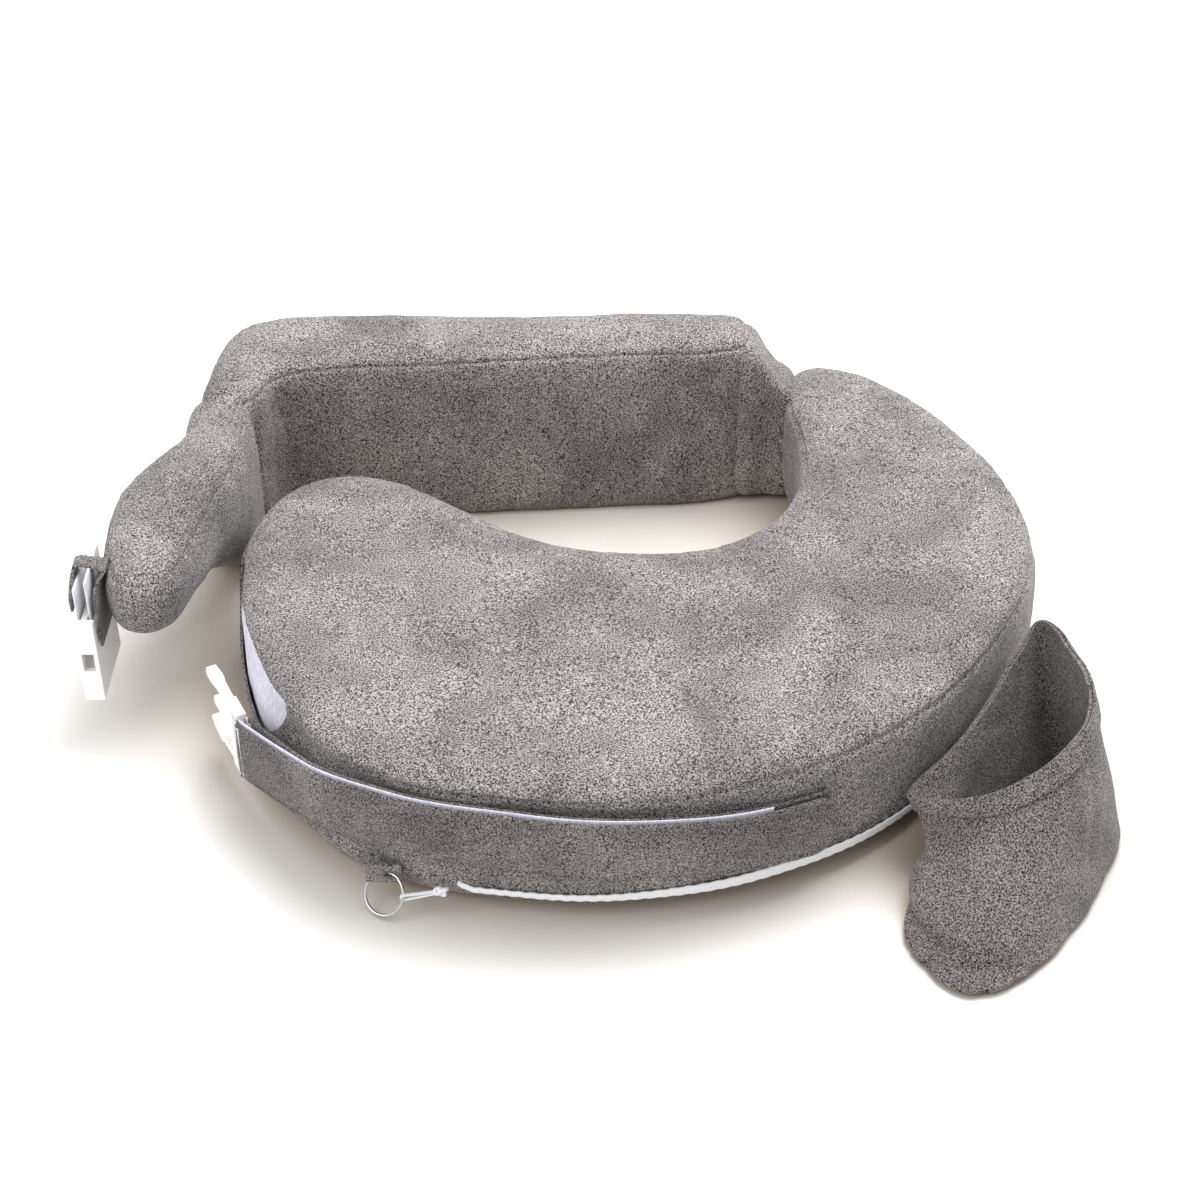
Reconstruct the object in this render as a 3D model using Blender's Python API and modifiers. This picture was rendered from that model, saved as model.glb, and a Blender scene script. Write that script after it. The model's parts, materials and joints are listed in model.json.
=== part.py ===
"""Wrap-around nursing pillow: a firm C-shaped platform, a hinged back rest with a forward arm, a waist strap
with a side-release buckle, a side pocket and an elasticated cover hem with a split ring.

Metres, +Z up. The plan is drawn about the middle of the waist opening's front edge and stands on the floor
at z = 0; FRAME_SHIFT moves it so that the whole pillow is centred on the world origin.
+X is the wearer's left as they look down at the feeding surface, and -Y is away from the wearer.
"""

import math

import bmesh
import bpy
from mathutils import Matrix, Vector
from mathutils.geometry import interpolate_bezier

# ---- driving dimensions -------------------------------------------------------------------------------
FRAME_SHIFT = Vector((0.0040, 0.0350, 0.0))

PLATFORM_HEIGHT = 0.100
SEAM_HEIGHT = 0.0925
WALL_LOW = 0.0285
HEM_TOP = 0.0225
HEM_LOW = 0.0080
LINER_LOW = 0.0015
LOWER_ROUNDING = 0.020
UPPER_ROUNDING = 0.006
GAP = 0.0003

PLUSH = 0.0022
LINER = 0.0008
LINER_INSET = 0.0030
FOAM_INSET = 0.0046

BACK_HEIGHT = 0.140
BACK_LEAN_GAP = 0.0010
BACK_ROUNDING = 0.008

STRAP_WIDTH = 0.045
STRAP_THICKNESS = 0.0022
PATCH_THICKNESS = 0.0010
STRAP_LEFT_HEIGHT = 0.050
# The strap's middle height along the front: it climbs from the buckle, then falls to the right.
STRAP_HEIGHTS = (
    (-0.2235, 0.0500), (-0.1900, 0.0580), (-0.1550, 0.0670), (-0.1200, 0.0690), (-0.0600, 0.0675),
    (0.0000, 0.0640), (0.0600, 0.0585), (0.1100, 0.0535), (0.1600, 0.0515),
)
STRAP_START_X = -0.180
STRAP_END_X = 0.156
INNER_LEG_OFF = 0.0022
OUTER_LEG_OFF = 0.0072
LOOP_PATCH_OFF = 0.0041
HOOK_PATCH_OFF = 0.00535
STRAP_TURN_RADIUS = 0.0043
SLOT_HALF = STRAP_WIDTH / 2 + 0.0012

ELASTIC_DIAMETER = 0.0036
RING_DIAMETER = 0.028
RING_WIRE = 0.0018

BUCKLE_WIDTH = 0.058
BUCKLE_THICKNESS = 0.0065
FEMALE_LENGTH = 0.060
FEMALE_THICKNESS = 0.013
FEMALE_BAR_HALF = 0.0019

# Joint axes, in the plan's own coordinates.
HORN_HINGE = Vector((0.1138, 0.2385, 0.0))
ARM_HINGE = Vector((-0.2835, 0.1120, 0.0))
MALE_BAR = Vector((-0.2235, -0.1490, 0.050))
MALE_HEADING = math.radians(117)
FEMALE_BAR = Vector((-0.3285, -0.0640, 0.1000))
TAIL_HINGE_X = 0.052
TAIL_END_X = 0.145

# The platform's outline, once round: outer edge from the left, horn, waist opening, left lobe.
PLATFORM_OUTLINE = (
    (-0.239, -0.037), (-0.226, -0.100), (-0.190, -0.180), (-0.135, -0.226), (-0.055, -0.247),
    (0.023, -0.249), (0.121, -0.221), (0.196, -0.171), (0.261, -0.087), (0.289, -0.010),
    (0.286, 0.071), (0.254, 0.148), (0.214, 0.202), (0.184, 0.223), (0.153, 0.226), (0.1395, 0.208),
    (0.1385, 0.170), (0.143, 0.120), (0.131, 0.059), (0.094, 0.012), (0.033, -0.004), (-0.040, 0.012),
    (-0.103, 0.053), (-0.155, 0.082), (-0.202, 0.077), (-0.233, 0.035),
)
BACK_OUTLINE = (
    (0.1125, 0.197), (0.1030, 0.187), (0.000, 0.176), (-0.120, 0.165), (-0.205, 0.157), (-0.232, 0.147),
    (-0.2405, 0.126), (-0.248, 0.118), (-0.274, 0.118), (-0.281, 0.128), (-0.280, 0.155),
    (-0.270, 0.197), (-0.245, 0.228), (-0.200, 0.2375), (-0.050, 0.2380), (0.1030, 0.2375), (0.1125, 0.228),
)
# Arm sections from the hinge to the tip: middle x, y, half thickness, lowest and highest z.
ARM_SECTIONS = (
    (-0.2620, 0.1075, 0.0195, 0.006, 0.136),
    (-0.2690, 0.0600, 0.0270, 0.036, 0.138),
    (-0.2830, 0.0100, 0.0310, 0.068, 0.138),
    (-0.2890, -0.0400, 0.0290, 0.083, 0.138),
    (-0.2920, -0.0720, 0.0240, 0.089, 0.135),
    (-0.2930, -0.0920, 0.0130, 0.096, 0.128),
)

# The pocket's mouth, at its own slanting height, and the outline where it meets the floor, in the same order.
POCKET_MOUTH = (
    (0.1900, -0.1880, 0.046), (0.2080, -0.2100, 0.058), (0.2370, -0.2200, 0.074), (0.2700, -0.2080, 0.086),
    (0.2940, -0.1820, 0.092), (0.3040, -0.1500, 0.094), (0.2970, -0.1120, 0.092), (0.2830, -0.0760, 0.088),
    (0.2620, -0.1020, 0.074), (0.2290, -0.1500, 0.056),
)
POCKET_FLOOR = (
    (0.1830, -0.2520, 0.0), (0.1900, -0.2860, 0.0), (0.2150, -0.3120, 0.0), (0.2560, -0.2900, 0.0),
    (0.2960, -0.2400, 0.0), (0.3270, -0.1800, 0.0), (0.3200, -0.1400, 0.0), (0.2990, -0.1100, 0.0),
    (0.2680, -0.1400, 0.0), (0.2260, -0.1820, 0.0),
)

# Where the side wall gapes at the left lobe, as an ellipsoid's middle and its half axes.
GAPE_MIDDLE = Vector((-0.236, -0.085, 0.090))
GAPE_HALF = Vector((0.045, 0.085, 0.048))
# Low and high corners of the two fabric folds that join the parts.
CORNER_FOLD = ((-0.2790, 0.1094, 0.006), (-0.2450, 0.1144, 0.134))
HORN_FOLD = ((0.1163, 0.190, 0.0), (0.1325, 0.234, 0.126))
HORN_FOLD_OUTER_TOP = 0.103

# The elastic's knot and loop, the hang tab and the split ring.
KNOT = Vector((-0.0955, -0.2475, 0.0210))
KNOT_SIZE = Vector((0.0058, 0.0040, 0.0038))
LOOP_SPREAD = 0.0028
LOOP_CORD = 0.0018
TAB_LOW = (-0.1420, -0.2362, 0.0185)
TAB_HIGH = (-0.1200, -0.2342, 0.0298)
TAB_HOLE = Vector((-0.1265, -0.2352, 0.0240))
TAB_SLOT = Vector((0.0100, 0.0200, 0.0046))
RING_RADIUS = (RING_DIAMETER - RING_WIRE) / 2
RING_TURN = math.radians(-30)
RING_TILT = math.radians(-38)
LOOP_TIP_ANGLE = math.radians(-5)

GREY_PLUSH = (0.175, 0.165, 0.160, 1.0)
WHITE_CLOTH = (0.80, 0.80, 0.86, 1.0)
WHITE_PLASTIC = (0.88, 0.88, 0.88, 1.0)
FOAM_CREAM = (0.85, 0.82, 0.70, 1.0)
STEEL = (0.75, 0.76, 0.77, 1.0)
PLUSH_LOOK = (GREY_PLUSH, 0.95)
CLOTH_LOOK = (WHITE_CLOTH, 0.85)
PLASTIC_LOOK = (WHITE_PLASTIC, 0.35)
ELASTIC_LOOK = (WHITE_CLOTH, 0.70)
TAPE_LOOK = (GREY_PLUSH, 0.90)
FOAM_LOOK = (FOAM_CREAM, 0.95)
STEEL_LOOK = (STEEL, 0.25, 1.0)


# ---- scene, materials and placing ---------------------------------------------------------------------
def clear_scene():
    for obj in list(bpy.data.objects):
        bpy.data.objects.remove(obj, do_unlink=True)


def new_collection(name):
    collection = bpy.data.collections.new(name)
    bpy.context.scene.collection.children.link(collection)
    return collection


def finish_material(name, colour, roughness, metallic=0.0):
    material = bpy.data.materials.new(name)
    material.use_nodes = True
    shader = material.node_tree.nodes["Principled BSDF"]
    shader.inputs["Base Color"].default_value = colour
    shader.inputs["Roughness"].default_value = roughness
    shader.inputs["Metallic"].default_value = metallic
    return material


def pivot(name, place, parent, turn=0.0):
    """An empty on a joint's axis, turned about Z; pieces are modelled in the plan's frame or in its own."""
    empty = bpy.data.objects.new(name, None)
    PARTS.objects.link(empty)
    empty.parent = parent
    empty.location = place
    empty.rotation_euler = (0.0, 0.0, turn)
    return empty


def piece(name, bm, look, parent, local=False):
    """Turns a bmesh into a named part. One drawn in the plan's frame is moved into its parent's frame."""
    if not local:
        bmesh.ops.transform(bm, matrix=parent_matrix(parent).inverted(), verts=bm.verts)
    mesh = bpy.data.meshes.new(name)
    bm.to_mesh(mesh)
    bm.free()
    obj = bpy.data.objects.new(name, mesh)
    PARTS.objects.link(obj)
    obj.parent = parent
    mesh.materials.append(finish_material(name, *look))
    mesh.shade_smooth()
    mesh.set_sharp_from_angle(angle=math.radians(40))
    return obj


def parent_matrix(parent):
    """The parent's place in the plan's frame, which is the frame of the pillow's own empty."""
    if parent is None or parent.parent is None:
        return Matrix.Identity(4)
    turned = Matrix.LocRotScale(parent.location, parent.rotation_euler, None)
    return parent_matrix(parent.parent) @ turned


def solidify(obj, thickness, offset=-1.0):
    modifier = obj.modifiers.new("wall", "SOLIDIFY")
    modifier.thickness = thickness
    modifier.offset = offset
    return obj


def round_edges(obj, width, segments=2):
    modifier = obj.modifiers.new("rounding", "BEVEL")
    modifier.width = width
    modifier.segments = segments
    modifier.limit_method = "ANGLE"
    modifier.angle_limit = math.radians(50)
    return obj


def cut(obj, cutter_bm, name):
    """Takes a closed shape, drawn in the plan's frame, out of a part."""
    mesh = bpy.data.meshes.new(name)
    cutter_bm.to_mesh(mesh)
    cutter_bm.free()
    cutter = bpy.data.objects.new(name, mesh)
    CUTTERS.objects.link(cutter)
    cutter.parent = PILLOW
    cutter.hide_render = True
    cutter.display_type = "WIRE"
    modifier = obj.modifiers.new(name, "BOOLEAN")
    modifier.operation = "DIFFERENCE"
    modifier.object = cutter
    return obj


# ---- outlines and blocks ------------------------------------------------------------------------------
def outline_curve(points, grow=0.0, resolution=3):
    """A closed, smooth 2D curve through the points, moved outwards by grow."""
    curve = bpy.data.curves.new("outline", "CURVE")
    curve.dimensions = "2D"
    curve.fill_mode = "BOTH"
    curve.offset = grow
    curve.resolution_u = resolution
    spline = curve.splines.new("BEZIER")
    spline.bezier_points.add(len(points) - 1)
    for knot, (x, y) in zip(spline.bezier_points, points):
        knot.co = (x, y, 0.0)
        knot.handle_left_type = "AUTO"
        knot.handle_right_type = "AUTO"
    spline.use_cyclic_u = True
    return curve


def curve_to_bmesh(curve):
    """The evaluated mesh of a curve, with its loose caps welded to its sides."""
    holder = bpy.data.objects.new("holder", curve)
    bpy.context.scene.collection.objects.link(holder)
    graph = bpy.context.evaluated_depsgraph_get()
    mesh = bpy.data.meshes.new_from_object(holder.evaluated_get(graph))
    bm = bmesh.new()
    bm.from_mesh(mesh)
    bpy.data.objects.remove(holder, do_unlink=True)
    bpy.data.meshes.remove(mesh)
    bpy.data.curves.remove(curve)
    bmesh.ops.remove_doubles(bm, verts=bm.verts, dist=1e-5)
    return bm


def rim_edges(bm, height):
    """Edges of the block's rim at a height: both ends there, and a wall on one side."""
    found = []
    for edge in bm.edges:
        level = all(abs(v.co.z - height) < 1e-5 for v in edge.verts)
        walls = [f for f in edge.link_faces if abs(f.normal.z) < 0.5]
        if level and walls:
            found.append(edge)
    return found


def block(points, low, high, lower_round, upper_round, grow=0.0, segments=3):
    """A slab on a plan outline, with its lower and upper rims rounded."""
    curve = outline_curve(points, grow)
    curve.extrude = (high - low) / 2
    bm = curve_to_bmesh(curve)
    bmesh.ops.dissolve_limit(bm, angle_limit=math.radians(0.5), verts=bm.verts, edges=bm.edges)
    bmesh.ops.translate(bm, verts=bm.verts, vec=(0, 0, (high + low) / 2))
    bmesh.ops.recalc_face_normals(bm, faces=bm.faces)
    for height, radius in ((low, lower_round), (high, upper_round)):
        if radius > 0:
            bmesh.ops.bevel(
                bm, geom=rim_edges(bm, height), offset=radius, segments=segments,
                profile=0.5, affect="EDGES", clamp_overlap=False,
            )
            bm.normal_update()
    return bm


def keep_between(bm, low=None, high=None):
    """Cuts a closed form by level planes and leaves the open skin between them."""
    for height, keep_above in ((low, True), (high, False)):
        if height is None:
            continue
        bmesh.ops.bisect_plane(
            bm, geom=bm.verts[:] + bm.edges[:] + bm.faces[:], plane_co=(0, 0, height),
            plane_no=(0, 0, 1), clear_inner=keep_above, clear_outer=not keep_above,
        )
    return bm


def outline_path(points, steps=8):
    """Points along the closed outline, as the curve itself runs."""
    curve = outline_curve(points)
    knots = list(curve.splines[0].bezier_points)
    holder = bpy.data.objects.new("holder", curve)
    bpy.context.scene.collection.objects.link(holder)
    bpy.context.view_layer.update()
    found = []
    for first, second in zip(knots, knots[1:] + knots[:1]):
        run = interpolate_bezier(
            first.co, first.handle_right, second.handle_left, second.co, steps + 1)
        found += run[:-1]
    bpy.data.objects.remove(holder, do_unlink=True)
    bpy.data.curves.remove(curve)
    return [Vector((p.x, p.y, 0.0)) for p in found]


def stand_off(path, distance):
    """The closed path moved outwards, to its right as it runs counter-clockwise."""
    moved = []
    for index, point in enumerate(path):
        along = (path[(index + 1) % len(path)] - path[index - 1]).normalized()
        moved.append(point + Vector((along.y, -along.x, 0.0)) * distance)
    return moved


def front_run(from_x, to_x, distance):
    """The stretch of the platform's front wall between two x values, left to right, standing off it."""
    wall = [p for p in stand_off(outline_path(PLATFORM_OUTLINE), distance) if p.y < -0.12]
    run = []
    for first, second in zip(wall, wall[1:]):
        for limit in (from_x, to_x):
            if first.x < limit <= second.x:
                run.append(first.lerp(second, (limit - first.x) / (second.x - first.x)))
        if from_x < second.x < to_x and first.x < second.x:
            run.append(second)
    return sorted(run, key=lambda p: p.x)


# ---- general shapes -----------------------------------------------------------------------------------
def box(low, high):
    bm = bmesh.new()
    size = Vector(high) - Vector(low)
    middle = (Vector(high) + Vector(low)) / 2
    matrix = Matrix.LocRotScale(middle, None, size)
    bmesh.ops.create_cube(bm, size=1.0, matrix=matrix)
    return bm


def loft(sections, close_start=True, close_end=True):
    """A skin through rings that hold the same number of points."""
    bm = bmesh.new()
    rings = [[bm.verts.new(p) for p in ring] for ring in sections]
    count = len(rings[0])
    for first, second in zip(rings, rings[1:]):
        for i in range(count):
            j = (i + 1) % count
            bm.faces.new((first[i], first[j], second[j], second[i]))
    if close_start:
        bm.faces.new(rings[0][::-1])
    if close_end:
        bm.faces.new(rings[-1])
    bmesh.ops.recalc_face_normals(bm, faces=bm.faces)
    return bm


def ribbon(path, width, heights):
    """An upright strip along a plan path; heights gives its middle at each point."""
    bm = bmesh.new()
    rows = []
    for point, middle in zip(path, heights):
        low = bm.verts.new((point.x, point.y, middle - width / 2))
        high = bm.verts.new((point.x, point.y, middle + width / 2))
        rows.append((low, high))
    for (low_a, high_a), (low_b, high_b) in zip(rows, rows[1:]):
        bm.faces.new((low_a, low_b, high_b, high_a))
    return bm


def tube(points, diameter, closed=False, sides_resolution=1):
    """A round cord through the points."""
    curve = bpy.data.curves.new("cord", "CURVE")
    curve.dimensions = "3D"
    curve.bevel_depth = diameter / 2
    curve.bevel_resolution = sides_resolution
    curve.use_fill_caps = not closed
    spline = curve.splines.new("POLY")
    spline.points.add(len(points) - 1)
    for knot, point in zip(spline.points, points):
        knot.co = (*point, 1.0)
    spline.use_cyclic_u = closed
    bm = curve_to_bmesh(curve)
    bmesh.ops.recalc_face_normals(bm, faces=bm.faces)
    return bm


def plate(points, thickness, lift=0.0):
    """A flat outline in the local XZ plane, thick along Y."""
    bm = bmesh.new()
    face = bm.faces.new([bm.verts.new((x, lift - thickness / 2, z)) for x, z in points])
    grown = bmesh.ops.extrude_face_region(bm, geom=[face])
    moved = [v for v in grown["geom"] if isinstance(v, bmesh.types.BMVert)]
    bmesh.ops.translate(bm, verts=moved, vec=(0, thickness, 0))
    bmesh.ops.recalc_face_normals(bm, faces=bm.faces)
    return bm


# ---- the platform -------------------------------------------------------------------------------------
def platform_block(inset):
    """The foam's form, grown evenly to a layer that lies nearer the outside by its inset."""
    grown = FOAM_INSET - inset
    return block(PLATFORM_OUTLINE, -grown, PLATFORM_HEIGHT - inset, LOWER_ROUNDING + grown,
                 UPPER_ROUNDING, grow=-inset)


def build_platform():
    piece("foam_core", platform_block(FOAM_INSET), FOAM_LOOK, PILLOW)
    liner = keep_between(platform_block(LINER_INSET), low=LINER_LOW)
    solidify(piece("inner_liner", liner, CLOTH_LOOK, PILLOW), LINER)
    top = keep_between(platform_block(0.0), low=SEAM_HEIGHT + GAP)
    solidify(piece("top_cover", top, PLUSH_LOOK, PILLOW), PLUSH)
    wall = keep_between(platform_block(0.0), low=WALL_LOW, high=SEAM_HEIGHT)
    side = solidify(piece("side_wall", wall, PLUSH_LOOK, PILLOW), PLUSH)
    # The wall sags open at the left lobe and shows the liner behind it.
    gape = bmesh.new()
    bmesh.ops.create_uvsphere(
        gape, u_segments=24, v_segments=12, radius=1.0,
        matrix=Matrix.LocRotScale(GAPE_MIDDLE, None, GAPE_HALF),
    )
    cut(side, gape, "liner_gape")
    hem = keep_between(platform_block(0.0), low=HEM_LOW, high=HEM_TOP)
    solidify(piece("hem_band", hem, PLUSH_LOOK, PILLOW), PLUSH)


def build_hem_elastic():
    """The white elastic that gathers the cover's hem, and its two tails, knotted and looped on the ring."""
    height = (WALL_LOW + HEM_TOP) / 2
    run = stand_off(outline_path(PLATFORM_OUTLINE, steps=3), -0.0009)
    points = [(p.x, p.y, height) for p in run]
    piece("hem_elastic", tube(points, ELASTIC_DIAMETER, closed=True), ELASTIC_LOOK, PILLOW)

    caught = ring_point(LOOP_TIP_ANGLE)
    inwards = (ring_point(LOOP_TIP_ANGLE + math.pi) - caught).normalized()
    across = (ring_point(LOOP_TIP_ANGLE + 0.1) - ring_point(LOOP_TIP_ANGLE - 0.1)).normalized()
    lift = inwards.cross(across).normalized() * LOOP_SPREAD
    away = (KNOT - caught).normalized()
    around = [KNOT + lift * 0.55 - away * KNOT_SIZE.x * 1.4, caught + away * 0.004 + lift]
    for step in range(5):
        angle = math.pi * step / 4
        around.append(caught + lift * math.cos(angle) - away * LOOP_SPREAD * math.sin(angle))
    around += [caught + away * 0.004 - lift, KNOT - lift * 0.55 - away * KNOT_SIZE.x * 1.4]
    piece("elastic_loop", tube(around, LOOP_CORD), ELASTIC_LOOK, RING_PIVOT)

    knot = bmesh.new()
    place = Matrix.LocRotScale(KNOT, None, KNOT_SIZE)
    bmesh.ops.create_uvsphere(knot, u_segments=12, v_segments=8, radius=1.0, matrix=place)
    piece("elastic_knot", knot, ELASTIC_LOOK, PILLOW)


def build_hang_tab():
    """A short folded tab of cover cloth with a buttonhole for the split ring."""
    tab = box(TAB_LOW, TAB_HIGH)
    obj = round_edges(piece("hang_tab", tab, PLUSH_LOOK, PILLOW), 0.0008)
    cut(obj, box(TAB_HOLE - TAB_SLOT / 2, TAB_HOLE + TAB_SLOT / 2), "tab_buttonhole")


def build_split_ring():
    """A steel ring that hangs by its top through the tab's buttonhole and holds the elastic's loop."""
    points = [ring_point(math.radians(step)) for step in range(0, 360, 12)]
    piece("split_ring", tube(points, RING_WIRE, closed=True), STEEL_LOOK, RING_PIVOT)


def ring_point(angle):
    """A point on the ring's centre line; the buttonhole is at 90 degrees, its top."""
    turned = Matrix.Rotation(RING_TURN, 3, "Z") @ Matrix.Rotation(RING_TILT, 3, "X")
    flat = Vector((math.cos(angle), 0.0, math.sin(angle) - 1.0)) * RING_RADIUS
    return TAB_HOLE + turned @ flat


# ---- the waist strap ----------------------------------------------------------------------------------
def strap_height(x):
    x = min(max(x, STRAP_HEIGHTS[0][0]), STRAP_HEIGHTS[-1][0])
    for (left, low), (right, high) in zip(STRAP_HEIGHTS, STRAP_HEIGHTS[1:]):
        if x <= right:
            return low + (high - low) * (x - left) / (right - left)
    return STRAP_HEIGHTS[-1][1]


def strap_strip(name, from_x, to_x, distance, thickness, parent, width=STRAP_WIDTH, look=None, lead=()):
    """A strip of the strap standing off the wall; lead holds plan points that go on to the buckle."""
    run = list(lead) + front_run(from_x, to_x, distance)
    bm = ribbon(run, width, [strap_height(p.x) for p in run])
    return solidify(piece(name, bm, look or PLUSH_LOOK, parent), thickness, offset=0.0)


def build_strap():
    """The strap lies on the front wall, runs round the buckle's bar and comes back over itself."""
    heading = Vector((math.cos(MALE_HEADING), math.sin(MALE_HEADING), 0.0))
    out = Vector((-heading.y, heading.x, 0.0))
    bar = Vector((MALE_BAR.x, MALE_BAR.y, 0.0))
    leg_end = bar - heading * 0.0036
    strap_strip("strap_inner_leg", STRAP_START_X, STRAP_END_X, INNER_LEG_OFF, STRAP_THICKNESS, PILLOW,
                lead=[leg_end - out * STRAP_TURN_RADIUS])
    strap_strip("strap_outer_leg", STRAP_START_X, TAIL_HINGE_X, OUTER_LEG_OFF, STRAP_THICKNESS, PILLOW,
                lead=[leg_end + out * STRAP_TURN_RADIUS])
    # The turn round the bar, from one leg to the other.
    turn = []
    for step in range(9):
        angle = math.pi * step / 8
        turn.append(bar - heading * 0.0026 + heading * math.sin(angle) * (STRAP_TURN_RADIUS + 0.0024)
                    - out * math.cos(angle) * STRAP_TURN_RADIUS)
    bm = ribbon(turn, STRAP_WIDTH, [STRAP_LEFT_HEIGHT] * len(turn))
    solidify(piece("strap_turn", bm, CLOTH_LOOK, PILLOW), STRAP_THICKNESS - 0.0002, offset=0.0)
    strap_strip("loop_patch", -0.120, TAIL_END_X + 0.012, LOOP_PATCH_OFF, PATCH_THICKNESS, PILLOW,
                width=STRAP_WIDTH - 0.008, look=TAPE_LOOK)
    tail_pivot = pivot("strap_tail_pivot", tail_hinge(OUTER_LEG_OFF), PILLOW)
    run = front_run(TAIL_HINGE_X + 0.0008, TAIL_END_X, OUTER_LEG_OFF)
    bm = ribbon(run, STRAP_WIDTH, [strap_height(p.x) for p in run])
    taper_end(bm, run)
    solidify(piece("strap_tail", bm, PLUSH_LOOK, tail_pivot), STRAP_THICKNESS, offset=0.0)
    strap_strip("hook_patch", TAIL_HINGE_X + 0.008, TAIL_END_X - 0.010, HOOK_PATCH_OFF, PATCH_THICKNESS,
                tail_pivot, width=STRAP_WIDTH - 0.012, look=TAPE_LOOK)


def tail_hinge(distance):
    run = front_run(TAIL_HINGE_X - 0.02, TAIL_HINGE_X + 0.02, distance)
    nearest = min(run, key=lambda p: abs(p.x - TAIL_HINGE_X))
    return Vector((nearest.x, nearest.y, strap_height(TAIL_HINGE_X)))


def taper_end(bm, run):
    """Rounds the free end of the strap by drawing its last rows towards the middle."""
    radius = STRAP_WIDTH / 2
    end = run[-1]
    for vertex in bm.verts:
        back = (Vector((vertex.co.x, vertex.co.y, 0.0)) - end).length
        if back < radius:
            share = math.sqrt(max(0.12, 1 - ((radius - back) / radius) ** 2))
            middle = strap_height(vertex.co.x)
            vertex.co.z = middle + (vertex.co.z - middle) * share


# ---- the side-release buckle --------------------------------------------------------------------------
def build_male_buckle():
    """Drawn with its bar at the local origin along Z and its prongs pointing along local +X."""
    half = BUCKLE_WIDTH / 2
    base = pivot("male_buckle_pivot", MALE_BAR, PILLOW, MALE_HEADING)
    # Bar and base plate, with the slot that the strap passes through.
    frame = box((-0.0014, -BUCKLE_THICKNESS / 2, -half + 0.002), (0.0170, BUCKLE_THICKNESS / 2, half - 0.002))
    male = piece("male_base", frame, PLASTIC_LOOK, base, local=True)
    slot = box((0.0014, -0.02, -SLOT_HALF), (0.0088, 0.02, SLOT_HALF))
    bmesh.ops.transform(slot, matrix=parent_matrix(base), verts=slot.verts)
    cut(male, slot, "male_slot")
    back_slot = box((-0.01, -0.02, -SLOT_HALF), (-0.0013, 0.02, SLOT_HALF))
    bmesh.ops.transform(back_slot, matrix=parent_matrix(base), verts=back_slot.verts)
    cut(male, back_slot, "male_back_slot")
    for name, side in (("male_relief_outer", 1), ("male_relief_inner", -1)):
        low, high = sorted((side * 0.0016, side * 0.02))
        relief = box((-0.01, low, -SLOT_HALF), (0.0015, high, SLOT_HALF))
        bmesh.ops.transform(relief, matrix=parent_matrix(base), verts=relief.verts)
        cut(male, relief, name)
    round_edges(male, 0.0006)
    tongue = box((0.0173, -0.0022, -0.0035), (0.0520, 0.0022, 0.0035))
    round_edges(piece("guide_tongue", tongue, PLASTIC_LOOK, base, local=True), 0.0012)
    for name, side in (("prong_upper", 1), ("prong_lower", -1)):
        root = pivot(name + "_pivot", Vector((0.0185, 0.0, side * 0.0205)), base)
        outline = [
            (-0.0012, -0.0018), (0.0180, -0.0006), (0.0300, -0.0042), (0.0385, -0.0042), (0.0405, -0.0010),
            (0.0370, 0.0040), (0.0240, 0.0072), (0.0205, 0.0064), (0.0180, 0.0036), (-0.0012, 0.0022),
        ]
        bm = plate([(x, z * side) for x, z in outline], BUCKLE_THICKNESS)
        round_edges(piece(name, bm, PLASTIC_LOOK, root, local=True), 0.0006)


def build_female_buckle():
    """The socket half, hanging from its bar: a flat box open at its mouth, with a window on each side."""
    half = BUCKLE_WIDTH / 2
    deep = FEMALE_THICKNESS / 2
    hanger = pivot("female_buckle_pivot", FEMALE_BAR - ARM_HINGE, ARM)
    body = box((-deep, -half, -FEMALE_LENGTH), (deep, half, 0.0028))
    female = piece("female_body", body, PLASTIC_LOOK, hanger, local=True)
    cavity = box((-deep + 0.0018, -half + 0.0045, -FEMALE_LENGTH - 0.01),
                 (deep - 0.0018, half - 0.0045, -0.0155))
    windows = box((-deep + 0.0026, -half - 0.01, -0.036), (deep - 0.0026, half + 0.01, -0.022))
    slot = box((-0.02, -SLOT_HALF, -0.0095), (0.02, SLOT_HALF, -0.0020))
    for name, cutter in (("socket_cavity", cavity), ("socket_windows", windows), ("socket_slot", slot)):
        bmesh.ops.transform(cutter, matrix=parent_matrix(hanger), verts=cutter.verts)
        cut(female, cutter, name)
    # The bar that the webbing goes round stands free on both faces and above.
    reliefs = [("bar_relief_top", box((-0.02, -SLOT_HALF, FEMALE_BAR_HALF), (0.02, SLOT_HALF, 0.01)))]
    for name, side in (("bar_relief_front", 1), ("bar_relief_back", -1)):
        low, high = sorted((side * FEMALE_BAR_HALF, side * 0.02))
        reliefs.append((name, box((low, -SLOT_HALF, -0.0025), (high, SLOT_HALF, 0.01))))
    for name, relief in reliefs:
        bmesh.ops.transform(relief, matrix=parent_matrix(hanger), verts=relief.verts)
        cut(female, relief, name)
    round_edges(female, 0.0007)


def build_webbing():
    """White webbing sewn into the arm's end and taken round the socket's bar."""
    bar = FEMALE_BAR
    ring = [bar + Vector((0.0040, 0, 0.030)), bar + Vector((0.0040, 0, 0.0))]
    for step in range(1, 8):
        angle = math.pi * step / 8
        ring.append(bar + Vector((0.0040 * math.cos(angle), 0, -0.0010 - 0.0036 * math.sin(angle))))
    ring += [bar + Vector((-0.0040, 0, 0.0)), bar + Vector((-0.0040, 0, 0.026))]
    bm = bmesh.new()
    rows = [
        (bm.verts.new(p - Vector((0, STRAP_WIDTH / 2, 0))), bm.verts.new(p + Vector((0, STRAP_WIDTH / 2, 0))))
        for p in ring
    ]
    for (a, b), (c, d) in zip(rows, rows[1:]):
        bm.faces.new((a, b, d, c))
    solidify(piece("webbing_loop", bm, CLOTH_LOOK, ARM), 0.0014, offset=0.0)


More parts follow.
